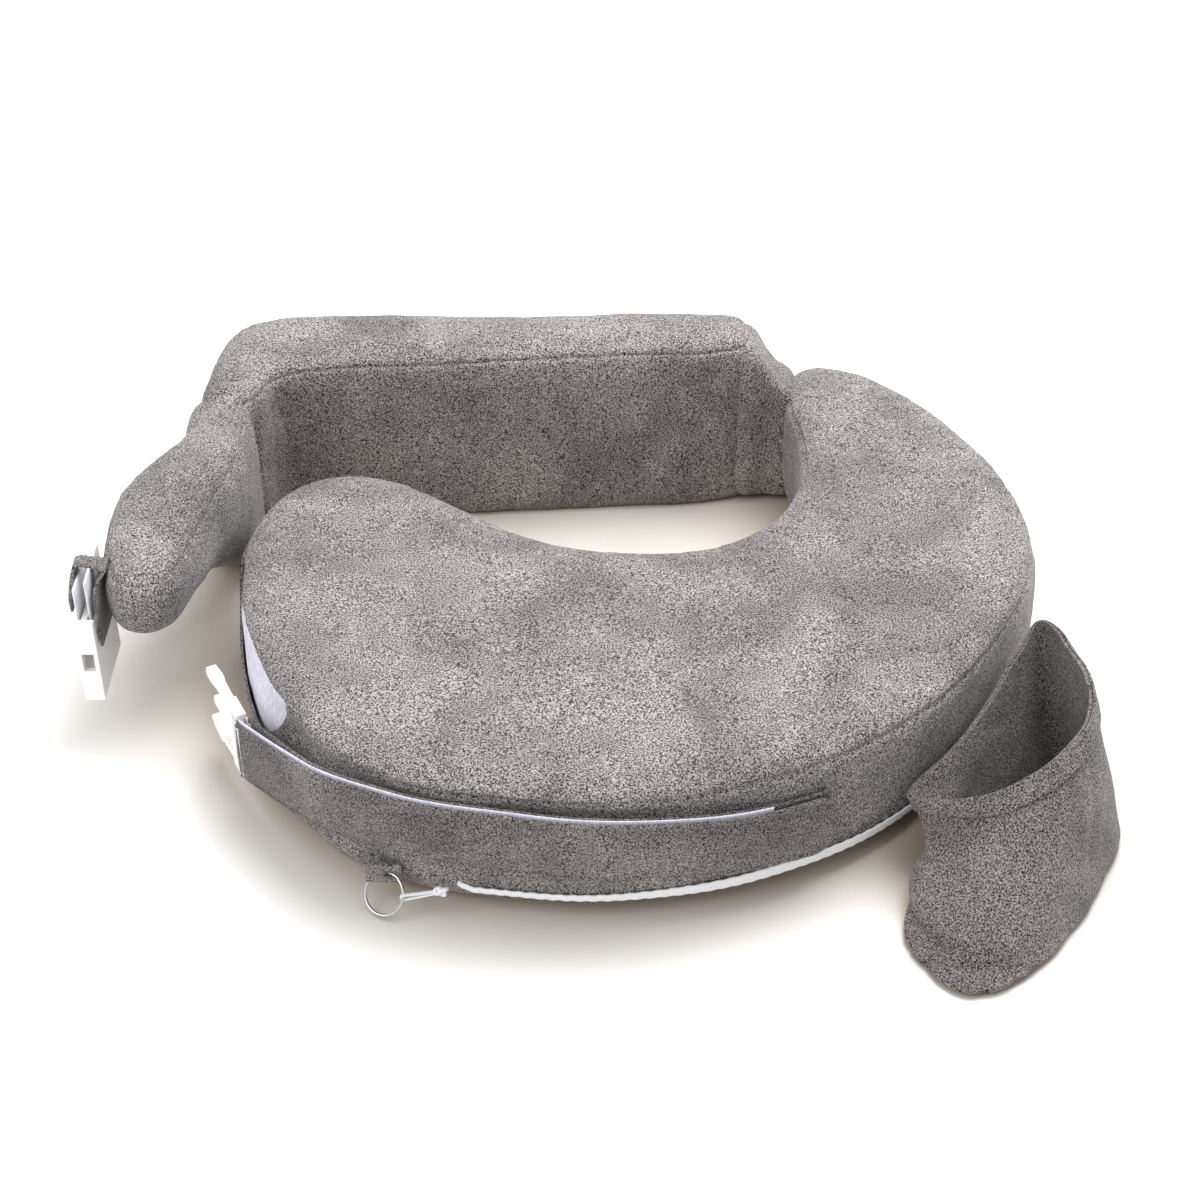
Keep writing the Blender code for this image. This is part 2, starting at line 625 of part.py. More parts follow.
# ---- back rest and arm --------------------------------------------------------------------------------
def back_block(inset):
    """As platform_block, on the back rest's outline."""
    grown = FOAM_INSET - inset
    return block(BACK_OUTLINE, -grown, BACK_HEIGHT - inset, BACK_ROUNDING + grown, BACK_ROUNDING,
                 -inset, 2)


def build_back_rest():
    piece("back_foam", back_block(FOAM_INSET), FOAM_LOOK, BACK)
    liner = keep_between(back_block(LINER_INSET), low=LINER_LOW)
    solidify(piece("back_liner", liner, CLOTH_LOOK, BACK), LINER)
    cover = keep_between(back_block(0.0), low=BACK_LEAN_GAP)
    solidify(piece("back_cover", cover, PLUSH_LOOK, BACK), PLUSH)
    fold = box(*CORNER_FOLD)
    round_edges(piece("corner_gusset", fold, PLUSH_LOOK, BACK), 0.002)
    gusset = box(*HORN_FOLD)
    middle_x = (HORN_FOLD[0][0] + HORN_FOLD[1][0]) / 2
    for vertex in gusset.verts:
        if vertex.co.z > PLATFORM_HEIGHT and vertex.co.x > middle_x:
            vertex.co.z = HORN_FOLD_OUTER_TOP
    round_edges(piece("horn_gusset", gusset, PLUSH_LOOK, PILLOW), 0.002)


def arm_ring(section, inset):
    """A rounded rectangle standing across the arm."""
    x, y, half, low, high = section
    half, low, high = half - inset, low + inset, high - inset
    tall = (high - low) / 2
    middle = (high + low) / 2
    corner = min(0.014, half * 0.7, tall * 0.7)
    points = []
    for quarter, (side, up) in enumerate(((1, 1), (-1, 1), (-1, -1), (1, -1))):
        for step in range(3):
            angle = math.radians(90 * quarter + 45 * step)
            points.append((
                x + side * (half - corner) + corner * math.cos(angle), y,
                middle + up * (tall - corner) + corner * math.sin(angle),
            ))
    return points


def arm_form(inset, start_open):
    sections = [list(section) for section in ARM_SECTIONS]
    sections[0][1] -= 0.2 * inset
    sections[-1][1] += inset
    return loft([arm_ring(section, inset) for section in sections], close_start=not start_open)


def build_arm():
    piece("arm_foam", arm_form(FOAM_INSET, False), FOAM_LOOK, ARM)
    solidify(piece("arm_liner", arm_form(LINER_INSET, True), CLOTH_LOOK, ARM), LINER)
    solidify(piece("arm_cover", arm_form(0.0, True), PLUSH_LOOK, ARM), PLUSH)


# ---- pocket -------------------------------------------------------------------------------------------
def pocket_ring(height, level):
    """One ring of the bag, from the mouth (level 0) to the floor (level 1)."""
    ring = []
    for mouth, floor in zip(POCKET_MOUTH, POCKET_FLOOR):
        top, bottom = Vector(mouth), Vector(floor)
        spot = top.lerp(bottom, level)
        spot.z = top.z + (height - top.z) * level
        ring.append(spot)
    return ring


def build_pocket():
    """An open bag of cover cloth: it hangs off the side wall and its bottom lies on the floor."""
    bag = loft([pocket_ring(0.0026, level) for level in (0.0, 0.35, 0.7, 1.0)], close_start=False)
    bag_obj = piece("pocket_bag", bag, PLUSH_LOOK, PILLOW)
    solidify(bag_obj, PLUSH)
    hem = loft([
        [Vector(p) + Vector((0, 0, 0.0018)) for p in POCKET_MOUTH],
        [Vector(p) + Vector((0, 0, 0.0060)) for p in POCKET_MOUTH],
    ], close_start=False, close_end=False)
    solidify(piece("pocket_hem", hem, PLUSH_LOOK, PILLOW), PLUSH + 0.0006, offset=-0.8)


clear_scene()
PARTS = new_collection("nursing_pillow")
CUTTERS = new_collection("cutters")
PILLOW = pivot("pillow_frame", FRAME_SHIFT, None)
BACK = pivot("back_rest_pivot", HORN_HINGE, PILLOW)
ARM = pivot("arm_pivot", ARM_HINGE - HORN_HINGE, BACK)
RING_PIVOT = pivot("split_ring_pivot", TAB_HOLE, PILLOW)


def main():
    build_platform()
    build_hem_elastic()
    build_hang_tab()
    build_split_ring()
    build_strap()
    build_male_buckle()
    build_back_rest()
    build_arm()
    build_webbing()
    build_female_buckle()
    build_pocket()


main()
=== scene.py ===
"""Looks of a wrap-around nursing pillow, built round its fixed frame.

A firm foam platform in a white cotton case wears a grey terry slip cover. The cover's back rest and arm
stand on their long edges, a waist strap with a side-release buckle lies round the front, a pocket hangs on
the side, and an elastic gathers the hem. Everything is in metres, +Z up, in the frame's own coordinates.
"""

from __future__ import annotations

import json
import logging
import math
from dataclasses import dataclass, field
from enum import Enum
from typing import Any, Callable, Iterable, Sequence

import bmesh
import bpy
import numpy as np
from mathutils import Matrix, Vector, noise
from mathutils.geometry import interpolate_bezier

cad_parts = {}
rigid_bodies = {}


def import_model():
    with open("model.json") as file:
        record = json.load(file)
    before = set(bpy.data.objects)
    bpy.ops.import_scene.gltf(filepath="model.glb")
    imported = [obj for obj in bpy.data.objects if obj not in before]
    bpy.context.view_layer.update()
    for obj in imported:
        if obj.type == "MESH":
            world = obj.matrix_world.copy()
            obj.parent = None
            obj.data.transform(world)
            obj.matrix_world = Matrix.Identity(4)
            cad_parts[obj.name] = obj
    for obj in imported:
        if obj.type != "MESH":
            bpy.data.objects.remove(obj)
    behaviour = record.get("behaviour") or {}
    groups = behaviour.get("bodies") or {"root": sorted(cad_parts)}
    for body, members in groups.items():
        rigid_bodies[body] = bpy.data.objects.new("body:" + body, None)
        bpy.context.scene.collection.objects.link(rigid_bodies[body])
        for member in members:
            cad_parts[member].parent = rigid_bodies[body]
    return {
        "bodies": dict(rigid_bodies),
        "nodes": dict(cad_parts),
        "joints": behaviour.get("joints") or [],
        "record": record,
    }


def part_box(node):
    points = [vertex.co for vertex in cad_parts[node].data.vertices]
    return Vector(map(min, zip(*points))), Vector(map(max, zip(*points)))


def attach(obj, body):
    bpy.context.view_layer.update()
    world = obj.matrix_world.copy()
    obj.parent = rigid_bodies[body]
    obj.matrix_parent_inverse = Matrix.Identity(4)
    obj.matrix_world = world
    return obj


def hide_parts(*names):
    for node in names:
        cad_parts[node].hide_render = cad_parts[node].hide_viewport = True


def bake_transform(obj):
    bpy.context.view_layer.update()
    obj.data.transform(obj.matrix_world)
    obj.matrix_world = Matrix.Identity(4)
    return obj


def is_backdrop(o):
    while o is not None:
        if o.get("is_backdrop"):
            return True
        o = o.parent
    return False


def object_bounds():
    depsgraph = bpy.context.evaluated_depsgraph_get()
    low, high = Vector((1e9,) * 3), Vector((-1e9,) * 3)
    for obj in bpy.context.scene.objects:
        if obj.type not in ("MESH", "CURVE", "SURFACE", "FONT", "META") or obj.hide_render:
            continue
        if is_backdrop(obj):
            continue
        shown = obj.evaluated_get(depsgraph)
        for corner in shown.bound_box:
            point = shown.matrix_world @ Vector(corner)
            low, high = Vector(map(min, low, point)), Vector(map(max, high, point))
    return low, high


MM = 0.001
LOG = logging.getLogger("nursing_pillow")
FRAME: dict[str, Any] = {}


class Body(str, Enum):
    """The bodies of the pillow that pieces ride on; the buckle's nodes keep their own."""

    PLATFORM = "platform"
    BACK = "back_rest"
    ARM = "arm"
    TAIL = "strap_tail"
    RING = "split_ring"


class Slot(str, Enum):
    """The names of the record's material slots; nothing in the script gives a piece one."""

    PLUSH = "grey_plush"
    LINER = "white_liner"
    ELASTIC = "white_elastic"
    FOAM = "foam"
    TAPE = "fastener_tape"
    STEEL = "ring_steel"


def joint(name: str) -> dict[str, Any]:
    """A joint of the frame, by name."""
    return next(j for j in FRAME["joints"] if j["name"] == name)


# ---- finishes -----------------------------------------------------------------------------------------
def linear(hex_colour: str) -> tuple[float, float, float, float]:
    """Turns an sRGB hex colour to linear light.

    Args:
        hex_colour: six hex digits, such as "A39D9C".

    Returns:
        Red, green, blue and an alpha of 1.
    """
    channels = [int(hex_colour[i:i + 2], 16) / 255 for i in (0, 2, 4)]
    light = [c / 12.92 if c <= 0.04045 else ((c + 0.055) / 1.055) ** 2.4 for c in channels]
    return (light[0], light[1], light[2], 1.0)


def add_node(
    tree: bpy.types.NodeTree, kind: str, settings: dict[str, Any] | None = None,
    sockets: dict[str | int, Any] | None = None,
) -> bpy.types.Node:
    """Adds one shader node.

    Args:
        tree: the material's node tree.
        kind: the node's type name.
        settings: the node's own properties.
        sockets: by input name or number, a value, or an output socket to link from.

    Returns:
        The new node.
    """
    made = tree.nodes.new(kind)
    for name, value in (settings or {}).items():
        setattr(made, name, value)
    for name, value in (sockets or {}).items():
        if isinstance(value, bpy.types.NodeSocket):
            tree.links.new(value, made.inputs[name])
        else:
            made.inputs[name].default_value = value
    return made


def blank(name: str) -> tuple[bpy.types.Material, bpy.types.NodeTree, bpy.types.Node]:
    """A new material, its tree and its Principled shader."""
    material = bpy.data.materials.new(name)
    material.use_nodes = True
    tree = material.node_tree
    return material, tree, tree.nodes["Principled BSDF"]


@dataclass(frozen=True)
class TerryPlush:
    """Polyester terry with a short loop pile, brushed: a soft heathered grey with patches where the nap lies
    another way, darker and cooler than the rest."""

    name: str = "terry_plush"
    loop_dark: str = "1E1B1C"
    loop_light: str = "C2BBB9"
    nap_shade: str = "8E8B94"
    loop_mm: float = 1.05
    nap_mm: float = 75.0
    ripple_mm: float = 7.0
    bump: float = 0.9

    def build(self) -> bpy.types.Material:
        """Makes the material.

        Returns:
            The finished material.
        """
        material, tree, shader = blank(self.name)
        place = add_node(tree, "ShaderNodeTexCoord").outputs["Object"]
        loops = add_node(tree, "ShaderNodeTexNoise", None, {
            "Vector": place, "Scale": 1 / (self.loop_mm * MM), "Detail": 2.5, "Roughness": 0.65}).outputs[0]
        tuft = add_node(tree, "ShaderNodeTexVoronoi", {"feature": "F1"}, {
            "Vector": place, "Scale": 0.85 / (self.loop_mm * MM)}).outputs["Distance"]
        speckle = add_node(tree, "ShaderNodeMapRange", None, {
            "Value": loops, "From Min": 0.40, "From Max": 0.62}).outputs[0]
        pile = add_node(tree, "ShaderNodeMix", {"data_type": "RGBA"}, {
            0: speckle, 6: linear(self.loop_dark), 7: linear(self.loop_light)}).outputs[2]
        nap = add_node(tree, "ShaderNodeTexNoise", None, {
            "Vector": place, "Scale": 1 / (self.nap_mm * MM), "Detail": 5.0, "Roughness": 0.62,
            "Distortion": 0.6}).outputs[0]
        patch = add_node(tree, "ShaderNodeMapRange", None, {
            "Value": nap, "From Min": 0.36, "From Max": 0.62, "To Min": 0.55, "To Max": 0.0}).outputs[0]
        shaded = add_node(tree, "ShaderNodeMix", {"data_type": "RGBA", "blend_type": "MULTIPLY"}, {
            0: patch, 6: pile, 7: linear(self.nap_shade)}).outputs[2]
        tree.links.new(shaded, shader.inputs["Base Color"])
        ripple = add_node(tree, "ShaderNodeTexNoise", None, {
            "Vector": place, "Scale": 1 / (self.ripple_mm * MM), "Detail": 2.0}).outputs[0]
        soft = add_node(tree, "ShaderNodeBump", None, {
            "Height": ripple, "Strength": 0.5, "Distance": 0.6 * MM}).outputs[0]
        tufts = add_node(tree, "ShaderNodeBump", {"invert": True}, {
            "Height": tuft, "Strength": 0.45, "Distance": 0.45 * MM, "Normal": soft}).outputs[0]
        relief = add_node(tree, "ShaderNodeBump", None, {
            "Height": loops, "Strength": self.bump, "Distance": 0.9 * MM, "Normal": tufts}).outputs[0]
        tree.links.new(relief, shader.inputs["Normal"])
        shader.inputs["Roughness"].default_value = 0.95
        shader.inputs["Specular IOR Level"].default_value = 0.15
        shader.inputs["Sheen Weight"].default_value = 0.18
        shader.inputs["Sheen Roughness"].default_value = 0.45
        return material


@dataclass(frozen=True)
class CottonCase:
    """Plain-woven cotton poplin, bleached: a cool white with fine upright threads and a soft sheen."""

    name: str = "cotton_case"
    cloth: str = "E9E8F2"
    shade: str = "C6C4D6"
    thread_mm: float = 0.9
    crumple_mm: float = 14.0

    def build(self) -> bpy.types.Material:
        """Makes the material.

        Returns:
            The finished material.
        """
        material, tree, shader = blank(self.name)
        place = add_node(tree, "ShaderNodeTexCoord").outputs["Object"]
        upright = add_node(tree, "ShaderNodeMapping", None, {
            "Vector": place, "Scale": (1.0, 1.0, 0.08)}).outputs[0]
        warp = add_node(tree, "ShaderNodeTexNoise", None, {
            "Vector": upright, "Scale": 1 / (self.thread_mm * MM), "Detail": 2.0}).outputs[0]
        crumple = add_node(tree, "ShaderNodeTexNoise", None, {
            "Vector": place, "Scale": 1 / (self.crumple_mm * MM), "Detail": 3.0}).outputs[0]
        tone = add_node(tree, "ShaderNodeMapRange", None, {
            "Value": warp, "From Min": 0.35, "From Max": 0.7}).outputs[0]
        colour = add_node(tree, "ShaderNodeMix", {"data_type": "RGBA"}, {
            0: tone, 6: linear(self.shade), 7: linear(self.cloth)}).outputs[2]
        tree.links.new(colour, shader.inputs["Base Color"])
        low = add_node(tree, "ShaderNodeBump", None, {
            "Height": crumple, "Strength": 0.6, "Distance": 1.2 * MM}).outputs[0]
        fine = add_node(tree, "ShaderNodeBump", None, {
            "Height": warp, "Strength": 0.5, "Distance": 0.25 * MM, "Normal": low}).outputs[0]
        tree.links.new(fine, shader.inputs["Normal"])
        shader.inputs["Roughness"].default_value = 0.8
        shader.inputs["Sheen Weight"].default_value = 0.1
        return material


@dataclass(frozen=True)
class WovenBand:
    """Woven polyester webbing or braided elastic: ribs across the band and a fine thread along it."""

    name: str = "woven_band"
    light: str = "F4F4F6"
    dark: str = "C9C9D2"
    rib_mm: float = 1.5
    roughness: float = 0.62

    def build(self) -> bpy.types.Material:
        """Makes the material; its ribs follow the piece's own UV map, whose V runs along the band in metres.

        Returns:
            The finished material.
        """
        material, tree, shader = blank(self.name)
        along = add_node(tree, "ShaderNodeUVMap", {"uv_map": "band"}).outputs[0]
        rib = add_node(tree, "ShaderNodeTexWave", {"bands_direction": "Y"}, {
            "Vector": along, "Scale": 1 / (self.rib_mm * MM) / 3.2, "Distortion": 0.6,
            "Detail": 1.0}).outputs[0]
        thread = add_node(tree, "ShaderNodeTexNoise", None, {
            "Vector": along, "Scale": 1 / (0.5 * MM), "Detail": 2.0}).outputs[0]
        tone = add_node(tree, "ShaderNodeMath", {"operation": "MULTIPLY_ADD"}, {
            0: rib, 1: 0.6, 2: thread}).outputs[0]
        shade = add_node(tree, "ShaderNodeMapRange", None, {
            "Value": tone, "From Min": 0.35, "From Max": 1.05}).outputs[0]
        colour = add_node(tree, "ShaderNodeMix", {"data_type": "RGBA"}, {
            0: shade, 6: linear(self.dark), 7: linear(self.light)}).outputs[2]
        tree.links.new(colour, shader.inputs["Base Color"])
        relief = add_node(tree, "ShaderNodeBump", None, {
            "Height": tone, "Strength": 0.7, "Distance": 0.3 * MM}).outputs[0]
        tree.links.new(relief, shader.inputs["Normal"])
        shader.inputs["Roughness"].default_value = self.roughness
        return material


@dataclass(frozen=True)
class MouldedAcetal:
    """Injection-moulded acetal, undyed: a slightly translucent white, satin from the polished mould."""

    name: str = "moulded_acetal"
    colour: str = "F3F2F0"
    orange_peel_mm: float = 2.2

    def build(self) -> bpy.types.Material:
        """Makes the material.

        Returns:
            The finished material.
        """
        material, tree, shader = blank(self.name)
        place = add_node(tree, "ShaderNodeTexCoord").outputs["Object"]
        peel = add_node(tree, "ShaderNodeTexNoise", None, {
            "Vector": place, "Scale": 1 / (self.orange_peel_mm * MM), "Detail": 2.0}).outputs[0]
        gloss = add_node(tree, "ShaderNodeMapRange", None, {
            "Value": peel, "To Min": 0.26, "To Max": 0.42}).outputs[0]
        relief = add_node(tree, "ShaderNodeBump", None, {
            "Height": peel, "Strength": 0.15, "Distance": 0.08 * MM}).outputs[0]
        tree.links.new(gloss, shader.inputs["Roughness"])
        tree.links.new(relief, shader.inputs["Normal"])
        shader.inputs["Base Color"].default_value = linear(self.colour)
        shader.inputs["Subsurface Weight"].default_value = 0.15
        shader.inputs["Subsurface Scale"].default_value = 1.5 * MM
        shader.inputs["IOR"].default_value = 1.48
        return material


@dataclass(frozen=True)
class PlatedWire:
    """Spring-steel wire, nickel plated: bright, with fine drawing lines and a few duller patches."""

    name: str = "plated_wire"
    colour: str = "CDCFD1"

    def build(self) -> bpy.types.Material:
        """Makes the material.

        Returns:
            The finished material.
        """
        material, tree, shader = blank(self.name)
        place = add_node(tree, "ShaderNodeTexCoord").outputs["Object"]
        wear = add_node(tree, "ShaderNodeTexNoise", None, {
            "Vector": place, "Scale": 900.0, "Detail": 4.0}).outputs[0]
        gloss = add_node(tree, "ShaderNodeMapRange", None, {
            "Value": wear, "To Min": 0.08, "To Max": 0.3}).outputs[0]
        tree.links.new(gloss, shader.inputs["Roughness"])
        shader.inputs["Base Color"].default_value = linear(self.colour)
        shader.inputs["Metallic"].default_value = 1.0
        return material


@dataclass(frozen=True)
class OpenFoam:
    """Cut polyurethane foam: cream, with open cells that show as small dark pits."""

    name: str = "open_foam"
    skin: str = "EFE7CF"
    pit: str = "C9BC98"
    cell_mm: float = 1.3

    def build(self) -> bpy.types.Material:
        """Makes the material.

        Returns:
            The finished material.
        """
        material, tree, shader = blank(self.name)
        place = add_node(tree, "ShaderNodeTexCoord").outputs["Object"]
        cells = add_node(tree, "ShaderNodeTexVoronoi", {"feature": "F1"}, {
            "Vector": place, "Scale": 1 / (self.cell_mm * MM)}).outputs["Distance"]
        colour = add_node(tree, "ShaderNodeMix", {"data_type": "RGBA"}, {
            0: cells, 6: linear(self.pit), 7: linear(self.skin)}).outputs[2]
        relief = add_node(tree, "ShaderNodeBump", None, {
            "Height": cells, "Strength": 0.7, "Distance": 0.5 * MM}).outputs[0]
        tree.links.new(colour, shader.inputs["Base Color"])
        tree.links.new(relief, shader.inputs["Normal"])
        shader.inputs["Roughness"].default_value = 0.95
        return material


@dataclass(frozen=True)
class FastenerTape:
    """Woven nylon fastener tape: rows of tiny hooks or loops stand on a grey ground, drawn at 1.4 mm."""

    name: str = "fastener_tape"
    ground: str = "5F5B5B"
    tip: str = "A29E9E"
    pitch_mm: float = 1.4

    def build(self) -> bpy.types.Material:
        """Makes the material.

        Returns:
            The finished material.
        """
        material, tree, shader = blank(self.name)
        place = add_node(tree, "ShaderNodeTexCoord").outputs["Object"]
        rows = add_node(tree, "ShaderNodeTexVoronoi", {"feature": "F1"}, {
            "Vector": place, "Scale": 1 / (self.pitch_mm * MM), "Randomness": 0.25}).outputs["Distance"]
        colour = add_node(tree, "ShaderNodeMix", {"data_type": "RGBA"}, {
            0: rows, 6: linear(self.tip), 7: linear(self.ground)}).outputs[2]
        relief = add_node(tree, "ShaderNodeBump", {"invert": True}, {
            "Height": rows, "Strength": 0.9, "Distance": 0.6 * MM}).outputs[0]
        tree.links.new(colour, shader.inputs["Base Color"])
        tree.links.new(relief, shader.inputs["Normal"])
        shader.inputs["Roughness"].default_value = 0.6
        return material


@dataclass(frozen=True)
class SewingThread:
    """Spun polyester thread, two ply: its twist shows as slanting light and dark."""

    name: str = "sewing_thread"
    colour: str = "5B5757"
    glint: str = "827E7E"

    def build(self) -> bpy.types.Material:
        """Makes the material.

        Returns:
            The finished material.
        """
        material, tree, shader = blank(self.name)
        place = add_node(tree, "ShaderNodeTexCoord").outputs["Object"]
        twist = add_node(tree, "ShaderNodeTexWave", {"bands_direction": "DIAGONAL"}, {
            "Vector": place, "Scale": 420.0, "Distortion": 1.0}).outputs[0]
        colour = add_node(tree, "ShaderNodeMix", {"data_type": "RGBA"}, {
            0: twist, 6: linear(self.colour), 7: linear(self.glint)}).outputs[2]
        tree.links.new(colour, shader.inputs["Base Color"])
        shader.inputs["Roughness"].default_value = 0.7
        return material


class Wardrobe:
    """Every finish of the pillow, made once."""

    def __init__(self) -> None:
        """Builds the materials."""
        self.plush = TerryPlush().build()
        self.strap_plush = TerryPlush(
            name="strap_plush", loop_dark="1B1818", loop_light="A59E9C", loop_mm=1.0).build()
        self.cotton = CottonCase().build()
        self.webbing = WovenBand().build()
        self.elastic = WovenBand(name="braided_elastic", light="FAFAFC", dark="DADAE2", rib_mm=1.1).build()
        self.acetal = MouldedAcetal().build()
        self.wire = PlatedWire().build()
        self.foam = OpenFoam().build()
        self.tape = FastenerTape().build()
        self.thread = SewingThread().build()


# ---- shapes -------------------------------------------------------------------------------------------
Path = list[Vector]


def deselect() -> None:
    """Leaves nothing selected and nothing active."""
    for obj in bpy.context.selected_objects:
        obj.select_set(False)
    bpy.context.view_layer.objects.active = None


def pick(obj: bpy.types.Object) -> bpy.types.Object:
    """Selects one object alone and makes it active."""
    deselect()
    obj.select_set(True)
    bpy.context.view_layer.objects.active = obj
    return obj


def new_piece(name: str, bm: bmesh.types.BMesh) -> bpy.types.Object:
    """Makes a linked object of a bmesh, and frees the bmesh."""
    mesh = bpy.data.meshes.new(name)
    bm.to_mesh(mesh)
    bm.free()
    obj = bpy.data.objects.new(name, mesh)
    bpy.context.scene.collection.objects.link(obj)
    return obj


def apply_modifier(obj: bpy.types.Object, kind: str, **settings: Any) -> bpy.types.Object:
    """Adds a modifier and applies it.

    Args:
        obj: the piece.
        kind: the modifier's type.
        settings: the modifier's properties.

    Returns:
        The same piece.
    """
    pick(obj)
    modifier = obj.modifiers.new(kind.lower(), kind)
    for name, value in settings.items():
        setattr(modifier, name, value)
    bpy.ops.object.modifier_apply(modifier=modifier.name)
    return obj


def stretch(before: Vector, here: Vector, there: Vector, after: Vector, steps: int) -> Path:
    """The points of one smooth stretch, from here up to there, without its last."""
    leave, arrive = here + (there - before) / 6, there - (after - here) / 6
    return interpolate_bezier(here, leave, arrive, there, steps + 1)[:-1]


def smooth_closed(points: Sequence[Vector], steps: int) -> Path:
    """A smooth closed line through points.

    Args:
        points: the points, once round.
        steps: how many points each stretch gets.

    Returns:
        The points of the line.
    """
    count = len(points)
    found: Path = []
    for i in range(count):
        before, here, there, after = (Vector(points[(i + k) % count]) for k in (-1, 0, 1, 2))
        found += stretch(before, here, there, after, steps)
    return found


def smooth_open(points: Sequence[Vector], steps: int) -> Path:
    """As smooth_closed, for a line with two ends."""
    points = [Vector(p) for p in points]
    found: Path = []
    for i in range(len(points) - 1):
        here, there = points[i], points[i + 1]
        before = points[i - 1] if i else here
        after = points[i + 2] if i + 2 < len(points) else there
        found += stretch(before, here, there, after, steps)
    return found + [points[-1]]


def spaced(path: Sequence[Vector], step: float) -> Path:
    """Points along an open line, evenly spaced by about a step."""
    lengths = [0.0]
    for first, second in zip(path, path[1:]):
        lengths.append(lengths[-1] + (second - first).length)
    count = max(2, round(lengths[-1] / step) + 1)
    marks = np.linspace(0.0, lengths[-1], count)
    axes = [np.interp(marks, lengths, [p[k] for p in path]) for k in range(3)]
    return [Vector(p) for p in zip(*axes)]


def ring_at(node: bpy.types.Object, height: float) -> Path:
    """The ring of a node's corners at a height, in order round it, counter-clockwise.

    Args:
        node: a node of the frame.
        height: the height of the ring.

    Returns:
        The corners, with their own z.
    """
    seen: dict[tuple[float, float], Vector] = {}
    for vertex in node.data.vertices:
        if abs(vertex.co.z - height) < 0.3 * MM:
            seen.setdefault((round(vertex.co.x, 4), round(vertex.co.y, 4)), vertex.co.copy())
    left = list(seen.values())
    ring = [min(left, key=lambda p: p.x)]
    left.remove(ring[0])
    while left:
        nearest = min(left, key=lambda p: (p - ring[-1]).length)
        left.remove(nearest)
        if (nearest - ring[-1]).length > 1.5 * MM:
            ring.append(nearest)
    area = sum(a.x * b.y - b.x * a.y for a, b in zip(ring, ring[1:] + ring[:1]))
    return ring if area > 0 else ring[::-1]


def stand_off(path: Sequence[Vector], distance: float) -> Path:
    """A closed counter-clockwise line in plan, moved outwards."""
    moved: Path = []
    for index, point in enumerate(path):
        along = path[(index + 1) % len(path)] - path[index - 1]
        along = Vector((along.x, along.y, 0.0)).normalized()
        moved.append(Vector((point.x + along.y * distance, point.y - along.x * distance, point.z)))
    return moved


class Outline:
    """A closed line in plan that knows how far points lie from it."""

    def __init__(self, path: Sequence[Vector]) -> None:
        """Keeps the line and its arc length.

        Args:
            path: the line's points, counter-clockwise.
        """
        self.path = list(path)
        self.start = np.array([(p.x, p.y) for p in path])
        self.step = np.roll(self.start, -1, axis=0) - self.start
        self.length = np.linalg.norm(self.step, axis=1)
        self.mark = np.concatenate(([0.0], np.cumsum(self.length)[:-1]))

    def measure(self, co: np.ndarray) -> tuple[np.ndarray, np.ndarray, np.ndarray]:
        """How points lie to the line.

        Args:
            co: the points, an array of x, y and z.

        Returns:
            Each point's depth inside the line, its place along the line, and the outward direction there.
        """
        depth, place = np.zeros(len(co)), np.zeros(len(co))
        outward = np.zeros((len(co), 2))
        unit = self.step / self.length[:, None]
        for low in range(0, len(co), 4000):
            points = co[low:low + 4000, None, :2] - self.start[None]
            share = np.clip((points * self.step).sum(2) / self.length ** 2, 0.0, 1.0)
            gap = points - share[..., None] * self.step
            far = np.linalg.norm(gap, axis=2)
            best = far.argmin(axis=1)
            rows = np.arange(len(best))
            side = np.stack((unit[best, 1], -unit[best, 0]), axis=1)
            sign = -np.sign((gap[rows, best] * side).sum(1))
            depth[low:low + 4000] = far[rows, best] * sign
            place[low:low + 4000] = self.mark[best] + share[rows, best] * self.length[best]
            outward[low:low + 4000] = side
        return depth, place, outward


@dataclass(frozen=True)
class Crease:
    """A wrinkle that lies on a surface from start to end, in metres, with its width and depth in mm.

    A positive depth is a valley with soft shoulders, a negative one a ridge.
    """

    start: tuple[float, float, float]
    end: tuple[float, float, float]
    width: float
    depth: float
    bow: float = 0.0


